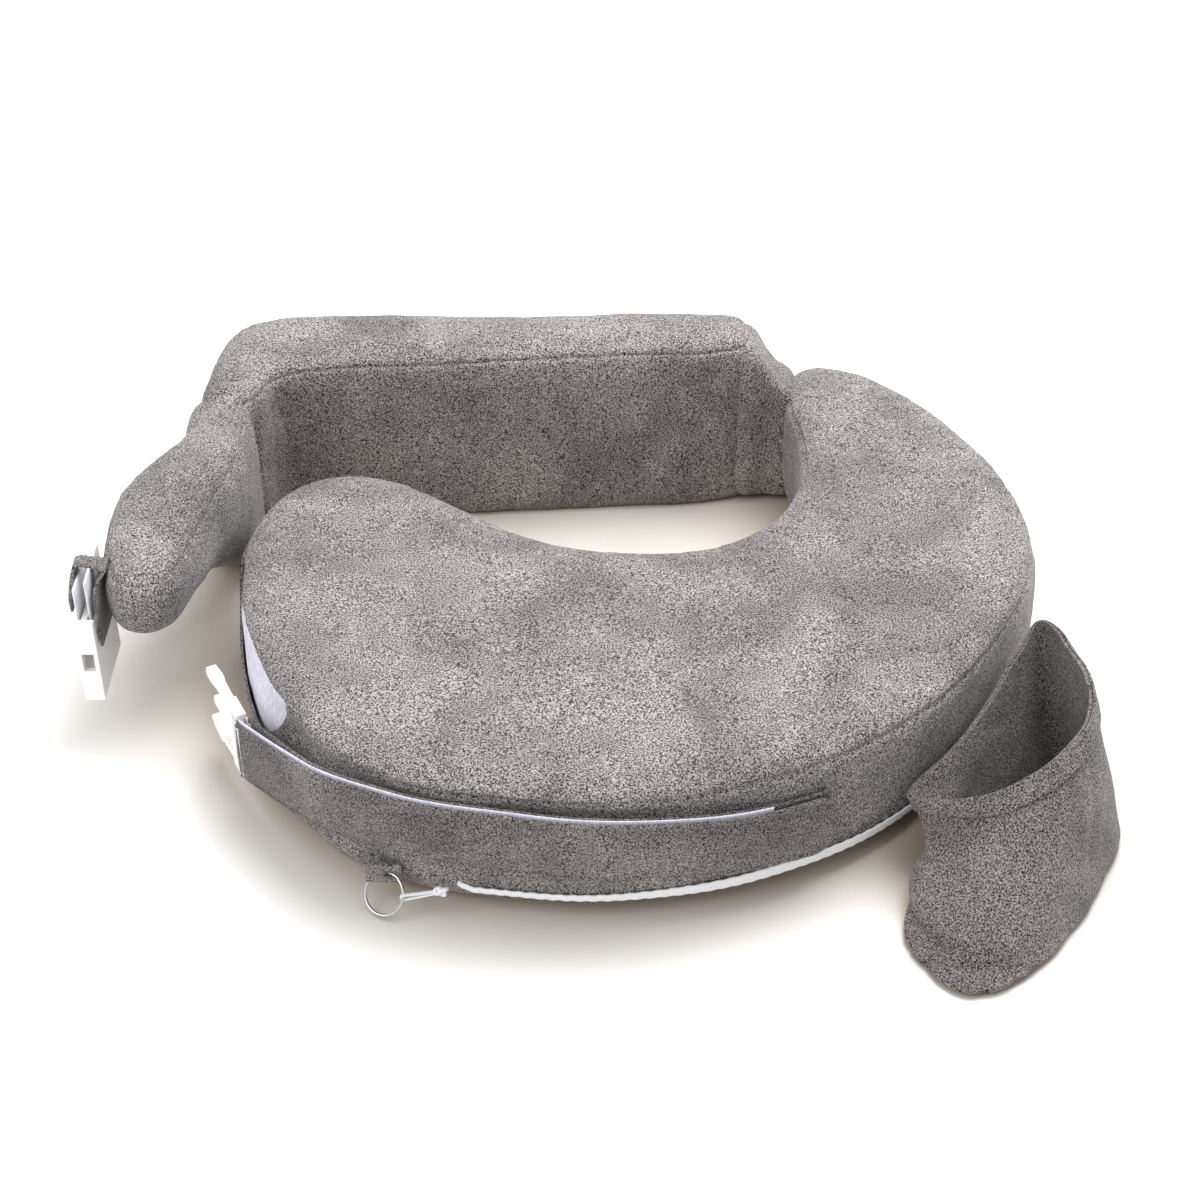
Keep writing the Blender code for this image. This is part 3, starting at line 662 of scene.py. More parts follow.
class Sculpt:
    """The points of one mesh, moved in code as a hand would move clay."""

    def __init__(self, piece: bpy.types.Object) -> None:
        """Reads the piece's mesh.

        Args:
            piece: a mesh whose object sits at the origin.
        """
        self.piece = piece
        count = len(piece.data.vertices)
        self.co = np.zeros(count * 3)
        piece.data.vertices.foreach_get("co", self.co)
        self.co = self.co.reshape(-1, 3)
        self.normal = np.zeros((count, 3))
        self.refresh()

    def refresh(self) -> None:
        """Writes the points back and reads the new normals."""
        mesh = self.piece.data
        mesh.vertices.foreach_set("co", self.co.ravel())
        mesh.update()
        normals = np.zeros(len(mesh.vertices) * 3, np.float32)
        mesh.vertex_normals.foreach_get("vector", normals)
        self.normal = normals.reshape(-1, 3).astype(float)

    def push(self, amount: np.ndarray) -> None:
        """Moves each point along its normal."""
        self.co += self.normal * amount[:, None]
        self.refresh()

    def relax(self, times: int, share: float = 0.5) -> None:
        """Draws each point towards its neighbours' middle."""
        edges = np.zeros(len(self.piece.data.edges) * 2, np.int64)
        self.piece.data.edges.foreach_get("vertices", edges)
        a, b = edges.reshape(-1, 2).T
        count = np.bincount(a, minlength=len(self.co)) + np.bincount(b, minlength=len(self.co))
        for _ in range(times):
            total = np.zeros_like(self.co)
            for axis in range(3):
                total[:, axis] = (
                    np.bincount(a, self.co[b, axis], len(self.co))
                    + np.bincount(b, self.co[a, axis], len(self.co)))
            self.co += (total / np.maximum(count, 1)[:, None] - self.co) * share
        self.refresh()

    def ripple(self, size_mm: float, height_mm: float, seed: float, octaves: int = 1) -> np.ndarray:
        """Smooth uneven heights over the surface.

        Args:
            size_mm: the width of one swell.
            height_mm: how high the swells are.
            seed: which of many such fields.
            octaves: how many finer fields are laid on the first.

        Returns:
            A height for each point, in metres.
        """
        shift = Vector((seed * 17.3, seed * 5.1, seed * 9.7))
        rows = (Vector(p) / (size_mm * MM) + shift for p in self.co)
        if octaves == 1:
            values = [noise.noise(p) for p in rows]
        else:
            values = [noise.fractal(p, 1.0, 2.1, octaves) for p in rows]
        return np.array(values) * height_mm * MM

    def crease(
        self, creases: Iterable[Crease], facing: Callable[[np.ndarray], np.ndarray] | None = None
    ) -> None:
        """Presses wrinkles into the surface.

        Args:
            creases: the wrinkles.
            facing: gives each point a share from its normal, to keep a wrinkle to one side of the piece.
        """
        total = np.zeros(len(self.co))
        for item in creases:
            start, end = np.array(item.start), np.array(item.end)
            along = end - start
            length = np.linalg.norm(along)
            share = np.clip((self.co - start) @ along / length ** 2, 0.0, 1.0)
            middle = start + share[:, None] * along
            sideways = np.cross(along / length, (0.0, 0.0, 1.0))
            middle += sideways * (item.bow * MM * np.sin(np.pi * share))[:, None]
            far = np.linalg.norm(self.co - middle, axis=1) / (item.width * MM)
            taper = np.sin(np.pi * np.clip(share * 0.96 + 0.02, 0, 1)) ** 0.7
            total -= item.depth * MM * taper * (1.0 - 0.9 * far ** 2) * np.exp(-far ** 2)
        if facing is not None:
            total *= facing(self.normal)
        self.push(total)


def step_up(values: np.ndarray, low: float, high: float) -> np.ndarray:
    """A smooth step from 0 at low to 1 at high; low may be the greater of the two."""
    share = np.clip((values - low) / (high - low), 0.0, 1.0)
    return share * share * (3.0 - 2.0 * share)


def bell(values: np.ndarray, middle: float, width: float) -> np.ndarray:
    """A smooth hump of height 1 round a middle value."""
    return np.exp(-((values - middle) / width) ** 2)


def remesh(piece: bpy.types.Object, voxel: float, relax: int = 3) -> bpy.types.Object:
    """Gives a closed form an even skin of quads."""
    pick(piece)
    piece.data.remesh_voxel_size = voxel
    piece.data.remesh_voxel_adaptivity = 0.0
    bpy.ops.object.voxel_remesh()
    sculpt = Sculpt(piece)
    sculpt.relax(relax)
    return piece


def cut_block(
    name: str, outline: Sequence[Vector], low: float, high: float, rounding: float
) -> bpy.types.Object:
    """A block as foam is cut: a plan outline with rounded rims.

    Args:
        name: the object's name.
        outline: the widest line of the block, in plan.
        low: the lowest height.
        high: the highest height.
        rounding: the radius of both rims.

    Returns:
        A closed mesh, its object at the origin.
    """
    curve = bpy.data.curves.new(name, "CURVE")
    curve.dimensions = "2D"
    curve.fill_mode = "BOTH"
    curve.extrude = (high - low) / 2 - rounding
    curve.bevel_depth = rounding
    curve.bevel_resolution = 3
    curve.offset = -rounding
    spline = curve.splines.new("POLY")
    spline.points.add(len(outline) - 1)
    for knot, point in zip(spline.points, outline):
        knot.co = (point.x, point.y, 0.0, 1.0)
    spline.use_cyclic_u = True
    obj = bpy.data.objects.new(name, curve)
    bpy.context.scene.collection.objects.link(obj)
    pick(obj)
    bpy.ops.object.convert(target="MESH")
    obj.data.transform(Matrix.Translation((0.0, 0.0, (low + high) / 2)))
    bm = bmesh.new()
    bm.from_mesh(obj.data)
    bmesh.ops.remove_doubles(bm, verts=bm.verts, dist=0.02 * MM)
    bmesh.ops.recalc_face_normals(bm, faces=bm.faces)
    bm.to_mesh(obj.data)
    bm.free()
    return obj


def joined(name: str, parts: Sequence[bpy.types.Object]) -> bpy.types.Object:
    """Joins objects into one, named anew."""
    deselect()
    for part in parts:
        part.select_set(True)
    bpy.context.view_layer.objects.active = parts[0]
    bpy.ops.object.join()
    parts[0].name = name
    return parts[0]


def swell(piece: bpy.types.Object, pressure: float, frames: int, cap: float, hold: float) -> None:
    """Fills a cover from inside by cloth simulation, then caps how far each point has gone.

    Args:
        piece: a closed skin of even quads.
        pressure: the pressure inside.
        frames: how many frames the cloth runs.
        cap: the furthest that a point may move.
        hold: points below this height are pinned.
    """
    start = np.zeros(len(piece.data.vertices) * 3)
    piece.data.vertices.foreach_get("co", start)
    start = start.reshape(-1, 3)
    group = piece.vertex_groups.new(name="held")
    group.add([int(i) for i in np.flatnonzero(start[:, 2] < hold)], 1.0, "REPLACE")
    pick(piece)
    cloth = piece.modifiers.new("cloth", "CLOTH")
    cloth.settings.quality = 5
    cloth.settings.mass = 0.35
    cloth.settings.tension_stiffness = 12.0
    cloth.settings.compression_stiffness = 12.0
    cloth.settings.shear_stiffness = 4.0
    cloth.settings.bending_stiffness = 0.6
    cloth.settings.use_pressure = True
    cloth.settings.uniform_pressure_force = pressure
    cloth.settings.vertex_group_mass = group.name
    cloth.settings.effector_weights.gravity = 0.0
    cloth.collision_settings.use_collision = False
    scene = bpy.context.scene
    for frame in range(1, frames + 1):
        scene.frame_set(frame)
    graph = bpy.context.evaluated_depsgraph_get()
    result = piece.evaluated_get(graph).to_mesh()
    end = np.zeros(len(result.vertices) * 3)
    result.vertices.foreach_get("co", end)
    end = end.reshape(-1, 3)
    piece.evaluated_get(graph).to_mesh_clear()
    piece.modifiers.remove(cloth)
    piece.vertex_groups.remove(group)
    scene.frame_set(1)
    move = end - start
    far = np.linalg.norm(move, axis=1)
    move *= (np.tanh(far / cap) * cap / np.maximum(far, 1e-9))[:, None]
    sculpt = Sculpt(piece)
    sculpt.co = start + move
    sculpt.refresh()
    LOG.info("%s swelled by up to %.1f mm", piece.name, np.linalg.norm(move, axis=1).max() / MM)


def band(
    name: str, path: Sequence[Vector], up: Sequence[Vector], profile: Sequence[tuple[float, float]],
    widths: Sequence[float] | None = None, closed: bool = False,
) -> bpy.types.Object:
    """A strip swept along a line, with a UV map "band" whose V runs along it in metres.

    Args:
        name: the object's name.
        path: the strip's middle line.
        up: the strip's width direction at each point.
        profile: the cross-section, once round, as (across, outwards) in metres.
        widths: a share of the full width at each point.
        closed: whether the line is a loop.

    Returns:
        A closed mesh.
    """
    bm = bmesh.new()
    layer = bm.loops.layers.uv.new("band")
    rings, marks, far = [], [], 0.0
    count = len(path)
    for index, point in enumerate(path):
        if closed:
            along = path[(index + 1) % count] - path[index - 1]
        else:
            along = path[min(index + 1, count - 1)] - path[max(index - 1, 0)]
        across = up[index].normalized()
        out = across.cross(along).normalized() * -1.0
        share = widths[index] if widths else 1.0
        rings.append([bm.verts.new(point + across * a * share + out * o) for a, o in profile])
        marks.append(far)
        far += (path[(index + 1) % count] - point).length
    around = [0.0]
    for first, second in zip(profile, list(profile[1:]) + [profile[0]]):
        around.append(around[-1] + math.dist(first, second))
    for index in range(count if closed else count - 1):
        first, second = rings[index], rings[(index + 1) % count]
        end = marks[index + 1] if index + 1 < count else far
        for k in range(len(profile)):
            n = (k + 1) % len(profile)
            face = bm.faces.new((first[k], first[n], second[n], second[k]))
            corners = ((around[k], marks[index]), (around[k + 1], marks[index]),
                       (around[k + 1], end), (around[k], end))
            for loop, corner in zip(face.loops, corners):
                loop[layer].uv = corner
    if not closed:
        bm.faces.new(rings[0][::-1])
        bm.faces.new(rings[-1])
    bmesh.ops.recalc_face_normals(bm, faces=bm.faces)
    return new_piece(name, bm)


def cord_tube(
    name: str, path: Sequence[Vector], radius: float, closed: bool = False, sides: int = 10
) -> bpy.types.Object:
    """A round cord or wire along a line, as a band with a round cross-section."""
    ring = [(radius * math.cos(math.tau * k / sides), radius * math.sin(math.tau * k / sides))
            for k in range(sides)]
    ups = []
    carried = Vector((0.0, 0.0, 1.0))
    count = len(path)
    for index in range(count):
        ahead = path[(index + 1) % count] if closed or index + 1 < count else path[index]
        behind = path[index - 1] if closed or index else path[index]
        along = (ahead - behind).normalized()
        carried = carried - along * carried.dot(along)
        if carried.length < 1e-4:
            carried = along.orthogonal()
        carried.normalize()
        ups.append(carried.copy())
    return band(name, path, ups, ring, closed=closed)


def strip_profile(
    width: float, thick: float, grooves: float = 0.0, inset: float = 0.0
) -> list[tuple[float, float]]:
    """The cross-section of a sewn strip: rounded edges and two sunken lines of stitching on each face.

    Args:
        width: the whole width.
        thick: the thickness between its faces.
        grooves: how deep the stitching draws the cloth in.
        inset: how far the stitching lies from the edge.

    Returns:
        Points as (across, outwards), once round.
    """
    half, deep = width / 2, thick / 2
    face = [(-half + 0.25 * thick, 0.82), (-half + 0.6 * thick, 1.0)]
    if grooves:
        for side in (-1, 1):
            middle = side * (half - inset)
            line = [(middle - 0.9 * MM, 1.0), (middle, 1.0 - grooves / deep), (middle + 0.9 * MM, 1.0)]
            face += line if side < 0 else [(0.0, 1.12)] + line
    else:
        face += [(0.0, 1.08)]
    face += [(half - 0.6 * thick, 1.0), (half - 0.25 * thick, 0.82)]
    front = [(a, o * deep) for a, o in face]
    back = [(a, -o) for a, o in reversed(front)]
    return front + [(half, 0.0)] + back + [(-half, 0.0)]


def box_form(
    name: str, low: Sequence[float], high: Sequence[float], bevel: float, segments: int = 3
) -> bpy.types.Object:
    """A moulded block: a cube primitive at its size and place, with rounded edges."""
    deselect()
    bpy.ops.mesh.primitive_cube_add(size=1.0, location=(0, 0, 0))
    obj = bpy.context.active_object
    obj.name = name
    size = [h - l for l, h in zip(low, high)]
    middle = [(h + l) / 2 for l, h in zip(low, high)]
    obj.data.transform(Matrix.LocRotScale(Vector(middle), None, Vector(size)))
    if bevel > 0:
        bpy.ops.object.mode_set(mode="EDIT")
        bpy.ops.mesh.select_all(action="SELECT")
        bpy.ops.mesh.bevel(offset=bevel, segments=segments, affect="EDGES")
        bpy.ops.object.mode_set(mode="OBJECT")
    return obj


def carve(piece: bpy.types.Object, cutter: bpy.types.Object) -> bpy.types.Object:
    """Takes a cutter out of a piece, and removes the cutter."""
    apply_modifier(piece, "BOOLEAN", object=cutter, operation="DIFFERENCE")
    bpy.data.objects.remove(cutter, do_unlink=True)
    return piece


def soft_edges(
    piece: bpy.types.Object, width: float, segments: int = 2, angle: float = 35.0
) -> bpy.types.Object:
    """Rounds a piece's edges that are sharper than an angle, in degrees."""
    return apply_modifier(
        piece, "BEVEL", width=width, segments=segments, limit_method="ANGLE",
        angle_limit=math.radians(angle))


def moved(piece: bpy.types.Object, place: Matrix) -> bpy.types.Object:
    """Moves a mesh itself, so that its object stays at the origin."""
    piece.data.transform(place)
    piece.data.update()
    return piece


def dress(
    piece: bpy.types.Object, material: bpy.types.Material, body: Body | None,
    nodes: Sequence[str] = (), smooth: float = 50.0,
) -> bpy.types.Object:
    """Gives a piece its finish, its body and the nodes it stands for.

    Args:
        piece: the finished mesh.
        material: its finish.
        body: the body it rides on, or None where it spans two and rides on neither.
        nodes: the frame's nodes that it replaces.
        smooth: the angle, in degrees, past which an edge stays sharp.

    Returns:
        The same piece.
    """
    piece.data.materials.clear()
    piece.data.materials.append(material)
    pick(piece)
    bpy.ops.object.shade_smooth_by_angle(angle=math.radians(smooth))
    if nodes:
        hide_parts(*nodes)
    if body is not None:
        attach(piece, body.value)
    LOG.info("%s: %d faces", piece.name, len(piece.data.polygons))
    return piece


# ---- the platform -------------------------------------------------------------------------------------
# How far the foams and their cases stay inside the space of their nodes, so that no wrinkle of the cover
# reaches them.
FOAM_CLEARANCE = 3.4 * MM
CASE_CLEARANCE = 1.6 * MM


@dataclass
class Platform:
    """The C-shaped feeding surface: foam, its cotton case, and the cover's panels and gathered hem."""

    nodes: dict[str, bpy.types.Object]
    finishes: Wardrobe
    seam: float = 92.5 * MM
    hem_top: float = 27.0 * MM
    cloth: float = 1.7 * MM
    voxel: float = 5.0 * MM
    rounding: float = 8.5 * MM
    room: float = 2.2 * MM
    gather: float = 8.5 * MM
    recess: float = 3.6 * MM
    lobe_pull: float = 7.5 * MM
    gape_middle: tuple[float, float, float] = (-0.226, -0.062, 0.092)
    gape_half: tuple[float, float, float] = (0.050, 0.092, 0.046)
    wrinkles: tuple[Crease, ...] = (
        Crease((0.156, 0.194, 0.1), (0.264, 0.193, 0.1), 4.0, 2.6, 4.0),
        Crease((0.153, 0.173, 0.1), (0.264, 0.141, 0.1), 4.0, 3.2, 5.0),
        Crease((0.153, 0.158, 0.1), (0.284, 0.104, 0.1), 4.0, 2.6, 6.0),
        Crease((0.156, 0.183, 0.1), (0.240, 0.176, 0.1), 3.5, 1.9, -3.0),
        Crease((0.152, 0.166, 0.1), (0.224, 0.153, 0.1), 3.0, 1.8, -2.0),
        Crease((0.170, 0.147, 0.1), (0.268, 0.082, 0.1), 5.0, 1.9, 5.0),
        Crease((0.158, 0.204, 0.1), (0.236, 0.208, 0.1), 5.0, 1.8, 4.0),
        Crease((0.078, 0.044, 0.1), (0.116, -0.012, 0.1), 5.0, 2.8, 4.0),
        Crease((0.100, 0.064, 0.1), (0.152, 0.026, 0.1), 4.5, 2.4, 3.0),
        Crease((0.056, 0.034, 0.1), (0.086, -0.036, 0.1), 5.0, 2.1, 4.0),
        Crease((0.004, 0.030, 0.1), (0.040, -0.032, 0.1), 4.5, 2.4, 3.0),
        Crease((-0.016, 0.034, 0.1), (0.012, -0.006, 0.1), 4.0, 2.0, 2.0),
        Crease((-0.030, -0.020, 0.1), (0.000, -0.086, 0.1), 6.0, 1.6, 3.0),
        Crease((0.276, 0.112, 0.1), (0.292, 0.066, 0.1), 4.5, 2.2, 2.0),
        Crease((-0.156, 0.102, 0.1), (-0.122, 0.036, 0.1), 9.0, 1.3, 5.0),
        Crease((-0.196, 0.000, 0.1), (-0.164, -0.070, 0.1), 8.0, 1.2, -4.0),
        Crease((0.148, -0.056, 0.1), (0.240, -0.122, 0.1), 8.0, 1.3, -6.0),
        Crease((0.060, -0.110, 0.1), (0.140, -0.160, 0.1), 7.0, 1.1, 5.0),
    )
    outline: Outline = field(init=False)

    def __post_init__(self) -> None:
        """Reads the cover's outline from the foam's upper ring."""
        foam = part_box("foam_core")
        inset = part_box("side_wall")[1].x - foam[1].x
        ring = ring_at(self.nodes["foam_core"], foam[1].z - 6.0 * MM)
        self.outline = Outline(smooth_closed(stand_off(ring, inset), 8))

    def build(self) -> None:
        """Makes the whole platform."""
        self.inside()
        skin = self.skin()
        for name, low, high, node in (
            ("platform_top_panel", self.seam, None, "top_cover"),
            ("platform_side_panel", self.hem_top, self.seam, "side_wall"),
            ("platform_hem_panel", 8.0 * MM, self.hem_top, "hem_band"),
        ):
            cloth = self.cut_panel(skin, name, low, high)
            if node == "side_wall":
                self.open_gape(cloth)
            dress(cloth, self.finishes.plush, Body.PLATFORM, [node])
        bpy.data.objects.remove(skin, do_unlink=True)

    def inside(self) -> None:
        """The foam and its cotton case."""
        foam = foam_block("platform_foam", self.nodes["foam_core"])
        sculpt = Sculpt(foam)
        self.draw_in(sculpt, 1.4, 1.0)
        dress(foam, self.finishes.foam, Body.PLATFORM, ["foam_core"])
        case = cotton_case("platform_case", self.nodes["foam_core"], 5.0 * MM)
        sculpt = Sculpt(case)
        place = self.outline.measure(sculpt.co)[1]
        tucked = np.maximum(step_up(-sculpt.co[:, 1], 0.09, 0.14), step_up(sculpt.co[:, 2], 0.082, 0.092))
        self.draw_in(sculpt, 1.35, tucked)
        x, y, height = sculpt.co.T.copy()
        near = bell(x, self.gape_middle[0], 0.06) * bell(y, self.gape_middle[1], 0.10)
        pleats = np.sin(place / (7.0 * MM) * math.tau + 2.0 * np.sin(place / 0.031)) * 0.35 * MM
        sculpt.push((pleats + 3.5 * MM) * near * step_up(height, 0.02, 0.04))
        dress(case, self.finishes.cotton, Body.PLATFORM, ["inner_liner"])

    def draw_in(self, sculpt: Sculpt, recess: float, lobe: float | np.ndarray) -> None:
        """Draws the wall in under the lip of the front, and the left lobe's upper half.

        Args:
            sculpt: the piece.
            recess: how much of the recess under the lip it takes.
            lobe: how much of the lobe's pull it takes, as a share at each point.
        """
        depth, _, outward = self.outline.measure(sculpt.co)
        x, y, height = sculpt.co.T
        front = step_up(-y, 0.03, 0.11) * step_up(-x, -0.14, -0.02)
        under = self.recess * recess * front * bell(height, 0.081, 9 * MM)
        pull = self.lobe_pull * lobe * bell(x, -0.178, 0.062) * bell(y, -0.130, 0.066)
        pull = pull * step_up(height, 0.045, 0.085)
        near = step_up(depth, 0.06, 0.015)
        sculpt.co[:, :2] -= outward * ((under + pull) * near)[:, None]
        sculpt.refresh()

    def skin(self) -> bpy.types.Object:
        """The cover's whole outer skin, swelled, wrinkled and gathered."""
        skin = cut_block(
            "platform_skin", stand_off(self.outline.path, -self.room), 0.0,
            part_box("top_cover")[1].z - self.room, self.rounding)
        remesh(skin, self.voxel)
        swell(skin, 3.0, 12, 1.5 * MM, 32.0 * MM)
        apply_modifier(skin, "SUBSURF", levels=1, render_levels=1)
        sculpt = Sculpt(skin)
        sculpt.push(np.full(len(sculpt.co), self.room))
        depth, place, outward = self.outline.measure(sculpt.co)
        height = sculpt.co[:, 2]
        crown = 1.6 * MM * step_up(depth, 4.0 * MM, 60.0 * MM) * step_up(height, 0.085, 0.097)
        sculpt.co[:, 2] += crown
        front = step_up(-sculpt.co[:, 1], 0.03, 0.11) * step_up(-sculpt.co[:, 0], -0.13, 0.0)
        lip = 1.8 * MM * front * bell(height, 0.096, 0.005)
        belly = 6.0 * MM * step_up(sculpt.co[:, 0], 0.20, 0.27) * bell(sculpt.co[:, 1], 0.07, 0.075)
        belly = belly * bell(height, 0.045, 0.034)
        gathers = np.sin(place / self.gather * math.tau + 2.5 * np.sin(place / 0.047))
        pucker = 0.7 * MM * gathers * bell(height, self.hem_top, 0.010)
        tuck = -7.0 * MM * step_up(height, 0.026, 0.004)
        move = lip + belly + pucker + tuck - 1.5 * MM * bell(height, self.hem_top, 0.0035)
        sculpt.co[:, :2] += outward * (move * step_up(depth, 0.03, 0.01))[:, None]
        sculpt.refresh()
        self.draw_in(sculpt, 1.0, 1.0)
        sculpt.crease(self.wrinkles, lambda normal: step_up(normal[:, 2], 0.1, 0.7))
        upper = step_up(height, 0.02, 0.05)
        sculpt.push(upper * (sculpt.ripple(70, 1.3, 1.0) + sculpt.ripple(26, 0.55, 2.0)))
        sculpt.push(upper * sculpt.ripple(7, 0.28, 3.0))
        return skin

    def cut_panel(
        self, skin: bpy.types.Object, name: str, low: float | None, high: float | None
    ) -> bpy.types.Object:
        """Cuts one panel and tucks its seam edges in."""
        bm = bmesh.new()
        bm.from_mesh(skin.data)
        for height, above in ((low, True), (high, False)):
            if height is not None:
                bmesh.ops.bisect_plane(
                    bm, geom=bm.verts[:] + bm.edges[:] + bm.faces[:], plane_co=(0, 0, height),
                    plane_no=(0, 0, 1), clear_inner=above, clear_outer=not above)
        cloth = new_piece(name, bm)
        sculpt = Sculpt(cloth)
        outward = self.outline.measure(sculpt.co)[2]
        tuck = -2.0 * MM * bell(sculpt.co[:, 2], self.seam, 1.5 * MM)
        sculpt.co[:, :2] += outward * tuck[:, None]
        sculpt.refresh()
        return apply_modifier(cloth, "SOLIDIFY", thickness=self.cloth, offset=-1.0)

    def open_gape(self, cloth: bpy.types.Object) -> None:
        """The side panel sags open at the left lobe, so that the case shows."""
        deselect()
        bpy.ops.mesh.primitive_uv_sphere_add(segments=48, ring_count=24, radius=1.0)
        hollow = bpy.context.active_object
        moved(hollow, Matrix.LocRotScale(Vector(self.gape_middle), None, Vector(self.gape_half)))
        carve(cloth, hollow)


def node_form(name: str, node: bpy.types.Object) -> bpy.types.Object:
    """A copy of a node's mesh, its doubles merged."""
    bm = bmesh.new()
    bm.from_mesh(node.data)
    bmesh.ops.remove_doubles(bm, verts=bm.verts, dist=0.05 * MM)
    return new_piece(name, bm)


def foam_block(name: str, node: bpy.types.Object) -> bpy.types.Object:
    """A piece of cut foam with the form of a node, standing just clear of the floor."""
    block = remesh(node_form(name, node), 7.0 * MM, relax=2)
    sculpt = Sculpt(block)
    sculpt.push(np.full(len(sculpt.co), -FOAM_CLEARANCE))
    sculpt.co[:, 2] = np.maximum(sculpt.co[:, 2], 1.6 * MM)
    sculpt.refresh()
    return block


def cotton_case(name: str, node: bpy.types.Object, voxel: float) -> bpy.types.Object:
    """A closed cotton case round a node's foam, crumpled a little."""
    case = remesh(node_form(name, node), voxel, relax=4)
    sculpt = Sculpt(case)
    sculpt.push(-CASE_CLEARANCE + sculpt.ripple(24, 0.3, 5.0))
    sculpt.co[:, 2] = np.maximum(sculpt.co[:, 2], 0.2 * MM)
    sculpt.refresh()
    return case


@dataclass
class HemElastic:
    """The white elastic that draws the hem in, its knot and its loop, the tab and the split ring."""

    nodes: dict[str, bpy.types.Object]
    finishes: Wardrobe
    outline: Outline
    narrow: float = 4.2 * MM
    wide: float = 8.0 * MM
    thick: float = 1.3 * MM
    loop_width: float = 2.6 * MM
    drop: float = 6.0 * MM

    def build(self) -> None:
        """Makes the elastic and what hangs on it."""
        self.hem()
        self.tab()
        self.ring()
        self.loop()

    def hem(self) -> None:
        """The braided elastic in the hem, gathered, widest at the right of the front."""
        low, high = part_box("hem_elastic")
        line = smooth_closed(self.outline.path[::4], 8)
        seen = stand_off(line, 0.5 * MM)
        tucked = stand_off(line, -4.5 * MM)
        path, widths = [], []
        far = 0.0
        for index, point in enumerate(line):
            far += (line[index - 1] - point).length if index else 0.0
            pleat = math.sin(far / (8.5 * MM) * math.tau + 2.5 * math.sin(far / 0.047))
            shown = float(step_up(np.array(-point.y), 0.10, 0.14)
                          * step_up(np.array(point.x), -0.098, -0.070))
            spot = tucked[index].lerp(seen[index], shown)
            height = (low.z + high.z) / 2 - self.drop * shown + 0.35 * MM * pleat
            path.append(Vector((spot.x, spot.y, height)))
            front = float(step_up(np.array(-point.y), 0.06, 0.14) * bell(np.array(point.x), 0.11, 0.085))
            widths.append(self.narrow / self.wide + (1 - self.narrow / self.wide) * front)
        profile = strip_profile(self.wide, self.thick)
        ups = [Vector((0, 0, 1))] * len(path)
        elastic = band("hem_elastic_band", path, ups, profile, widths, closed=True)
        dress(elastic, self.finishes.elastic, Body.PLATFORM, ["hem_elastic"])

    def tab(self) -> None:
        """A folded tab of cover cloth with a worked buttonhole."""
        low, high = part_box("hang_tab")
        body = box_form("hang_tab_cloth", (low.x, low.y - 0.4 * MM, low.z - 1.0 * MM),
                        (high.x, high.y + 0.4 * MM, high.z + 2.0 * MM), 0.0)
        bpy.ops.object.mode_set(mode="EDIT")
        bpy.ops.mesh.select_all(action="SELECT")
        bpy.ops.mesh.subdivide(number_cuts=6)
        bpy.ops.object.mode_set(mode="OBJECT")
        soft_edges(body, 1.0 * MM, 3)
        hole_place = Vector(joint("split_ring_swivel")["pos_m"])
        deselect()
        bpy.ops.mesh.primitive_cylinder_add(vertices=24, radius=1.0, depth=1.0)
        cutter = bpy.context.active_object
        moved(cutter, Matrix.LocRotScale(
            hole_place, Matrix.Rotation(math.radians(90), 3, "X"), Vector((4.2 * MM, 2.2 * MM, 20.0 * MM))))
        carve(body, cutter)
        dress(body, self.finishes.plush, Body.PLATFORM, ["hang_tab"])
        self.buttonhole(hole_place, low.y - 0.5 * MM)

    def buttonhole(self, middle: Vector, face: float) -> None:
        """Satin stitches round the buttonhole's edge."""
        bm = bmesh.new()
        count = 26
        for index in range(count):
            angle = math.tau * index / count
            reach = Vector((math.cos(angle) * 4.9 * MM, 0.0, math.sin(angle) * 2.9 * MM))
            spot = Vector((middle.x, face, middle.z)) + reach
            turn = Matrix.Rotation(-angle, 3, "Y").to_quaternion()
            place = Matrix.LocRotScale(spot, turn, Vector((1.1 * MM, 0.35 * MM, 0.38 * MM)))
            bmesh.ops.create_uvsphere(bm, u_segments=8, v_segments=5, radius=1.0, matrix=place)
        dress(new_piece("buttonhole_stitches", bm), self.finishes.thread, Body.PLATFORM)

    def ring(self) -> None:
        """A split ring: two flattened turns of wire pressed together, with stepped ends."""
        self.middle, self.axis, self.radius = self.fitted_ring()
        across = self.axis.orthogonal().normalized()
        beside = self.axis.cross(across)
        path = []
        count = 132
        for index in range(count + 1):
            angle = math.tau * 1.92 * index / count
            share = index / count
            lift = (share - 0.5) * 1.5 * MM
            path.append(self.middle + (across * math.cos(angle) + beside * math.sin(angle)) * self.radius
                        + self.axis * lift)
        ups = [self.axis] * len(path)
        ring = [(0.62 * MM * math.cos(math.tau * k / 10), 0.75 * MM * math.sin(math.tau * k / 10))
                for k in range(10)]
        wire = band("split_ring_wire", path, ups, ring)
        dress(wire, self.finishes.wire, Body.RING, ["split_ring"])

    def fitted_ring(self) -> tuple[Vector, Vector, float]:
        """The ring's middle, axis and radius, from its node."""
        co = np.array([v.co for v in self.nodes["split_ring"].data.vertices])
        middle = co.mean(axis=0)
        axis = np.linalg.svd(co - middle, full_matrices=False)[2][2]
        radius = float(np.linalg.norm(co - middle, axis=1).mean())
        return Vector(middle), Vector(axis).normalized(), radius

